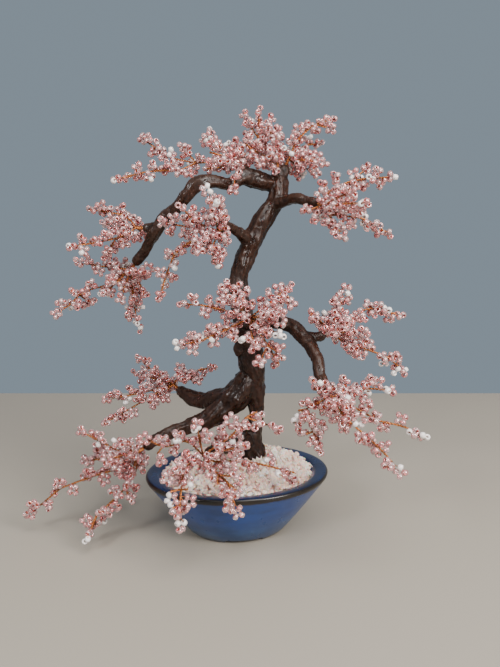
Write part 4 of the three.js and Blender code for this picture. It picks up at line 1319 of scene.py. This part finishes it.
def bead_tree():
    """Threads one bead on each point, its hole along the point's own direction."""
    tree, given, result = new_tree("glass_beads", Diameter="Float", Length="Float", Hole="Float",
                                   Spread="Float", Seed="Int", Glass="Material", Lining="Material")

    def halved(value):
        return maths(tree, "MULTIPLY", value, 0.5)

    outer, inner = halved(given["Diameter"]), halved(given["Hole"])
    middle = halved(maths(tree, "ADD", outer, inner))
    wall = halved(maths(tree, "SUBTRACT", outer, inner))
    path = circle(tree, bead_sides, middle)
    section = circle(tree, bead_section_sides, 1.0)
    shape = node(tree, "ShaderNodeCombineXYZ", {"X": wall, "Y": halved(given["Length"]), "Z": 1.0})
    oval_section = node(tree, "GeometryNodeTransform", {"Geometry": section, "Scale": shape})
    bead = node(tree, "GeometryNodeCurveToMesh", {"Curve": path, "Profile Curve": oval_section})
    flat = vectors(tree, "MULTIPLY", node(tree, "GeometryNodeInputPosition"), (1.0, 1.0, 0.0))
    off_axis = vectors(tree, "LENGTH", flat, out="Value")
    limit = maths(tree, "ADD", inner, maths(tree, "MULTIPLY", wall, lined_share))
    in_hole = node(tree, "FunctionNodeCompare", {"A": off_axis, "B": limit}, data_type="FLOAT",
                   operation="LESS_THAN")
    lined = marked(tree, bead, "in_hole", in_hole, "BOOLEAN", "FACE")
    hole = node(tree, "GeometryNodeInputNamedAttribute", {"Name": "hole"}, data_type="FLOAT_VECTOR")
    turn = node(tree, "FunctionNodeAlignRotationToVector", {"Vector": hole}, axis="Z")
    scale = chance_value(tree, maths(tree, "SUBTRACT", 1.0, given["Spread"]),
                         maths(tree, "ADD", 1.0, given["Spread"]), given["Seed"])
    threaded = node(tree, "GeometryNodeInstanceOnPoints", {
        "Points": given["Geometry"], "Instance": lined, "Rotation": turn, "Scale": scale})
    tint = marked(tree, threaded, "tint", chance_value(tree, seed=5))
    real = node(tree, "GeometryNodeRealizeInstances", {"Geometry": tint})
    smooth = node(tree, "GeometryNodeSetShadeSmooth", {"Geometry": real, "Shade Smooth": True})
    done = made_of(tree, made_of(tree, smooth, given["Glass"]), given["Lining"])
    hole_faces = node(tree, "GeometryNodeInputNamedAttribute", {"Name": "in_hole"}, data_type="BOOLEAN")
    set_inputs(done.node, {"Selection": hole_faces})
    set_inputs(result, {"Geometry": done})
    return tree


def clear_glass():
    glass, tree, shader = surface("clear_glass", (1.0, 0.90, 0.88), 0.03)
    shade = ramp(tree, attribute(tree, "tint"),
                 (0.0, (0.93, 0.45, 0.45)), (0.5, (0.98, 0.66, 0.64)), (1.0, (1.0, 0.84, 0.82)))
    set_inputs(shader, {
        "Base Color": shade, "Transmission Weight": 0.74, "IOR": 1.55, "Specular IOR Level": 1.0,
        "Coat Weight": 1.0, "Coat Roughness": 0.03, "Coat IOR": 1.75})
    return glass


def pink_lining():
    lining, tree, shader = surface("pink_lining", (0.8, 0.35, 0.32), 0.08)
    tarnish = speckle(tree, 900, 2)
    set_inputs(shader, {
        "Base Color": ramp(tree, tarnish, (0.35, (0.66, 0.17, 0.18)), (0.65, (1.0, 0.62, 0.60))),
        "Metallic": 0.85})
    return lining


def pearl_glass():
    pearl, tree, shader = surface("pearl_glass", (0.86, 0.82, 0.78), 0.18)
    shade = ramp(tree, attribute(tree, "tint"), (0.0, (0.80, 0.71, 0.67)), (1.0, (0.94, 0.89, 0.86)))
    set_inputs(shader, {
        "Base Color": shade, "Coat Weight": 1.0, "Coat Roughness": 0.08, "Sheen Weight": 0.2})
    return pearl


bead_maker = bead_tree()
glass, lining, pearl = clear_glass(), pink_lining(), pearl_glass()


def thread_beads(name, beads, diameter, length, size_spread, seed, glass, lining):
    """One bead for each (middle, direction of its hole)."""
    mesh = mesh_from(name, [at(*middle) for middle, _ in beads])
    direction = mesh.attributes.new("hole", "FLOAT_VECTOR", "POINT")
    direction.data.foreach_set("vector", np.array([hole for _, hole in beads], np.float32).ravel())
    return run_tree(name, mesh, bead_maker, Diameter=diameter * mm, Length=length * mm,
                    Hole=hole_diameter * mm, Spread=size_spread, Seed=seed, Glass=glass, Lining=lining)


def loop_line(blossom):
    """The thin wire of a loop: out of the twig, through the beads and back into the twig."""
    apart = blossom["along"] * loop_wires_apart
    return [blossom["root"] - apart, *blossom["beads"], blossom["root"] + apart]


for number, (name, blossoms) in enumerate(blossoms_of.items()):
    whites = choose_pearls(name, blossoms, chance)
    pinks, pearls = [], []
    for i, blossom in enumerate(blossoms):
        for k, bead in enumerate(zip(blossom["beads"], blossom["holes"])):
            (pearls if k in whites.get(i, ()) else pinks).append(bead)
    pieces = [
        thread_beads(f"{name}_pink_beads", pinks, bead_diameter, bead_length, bead_spread, number, glass,
                     lining),
        thread_beads(f"{name}_pearls", pearls, pearl_diameter, pearl_length, pearl_spread, number, pearl,
                     pearl),
        lay_wire(f"{name}_loops", [loop_line(blossom) for blossom in blossoms],
                 strands=1, radius=0.15, lay_radius=0, lay_length=1, step=0.9)]
    for piece in pieces:
        stands_for(piece, f"spray_{name}")
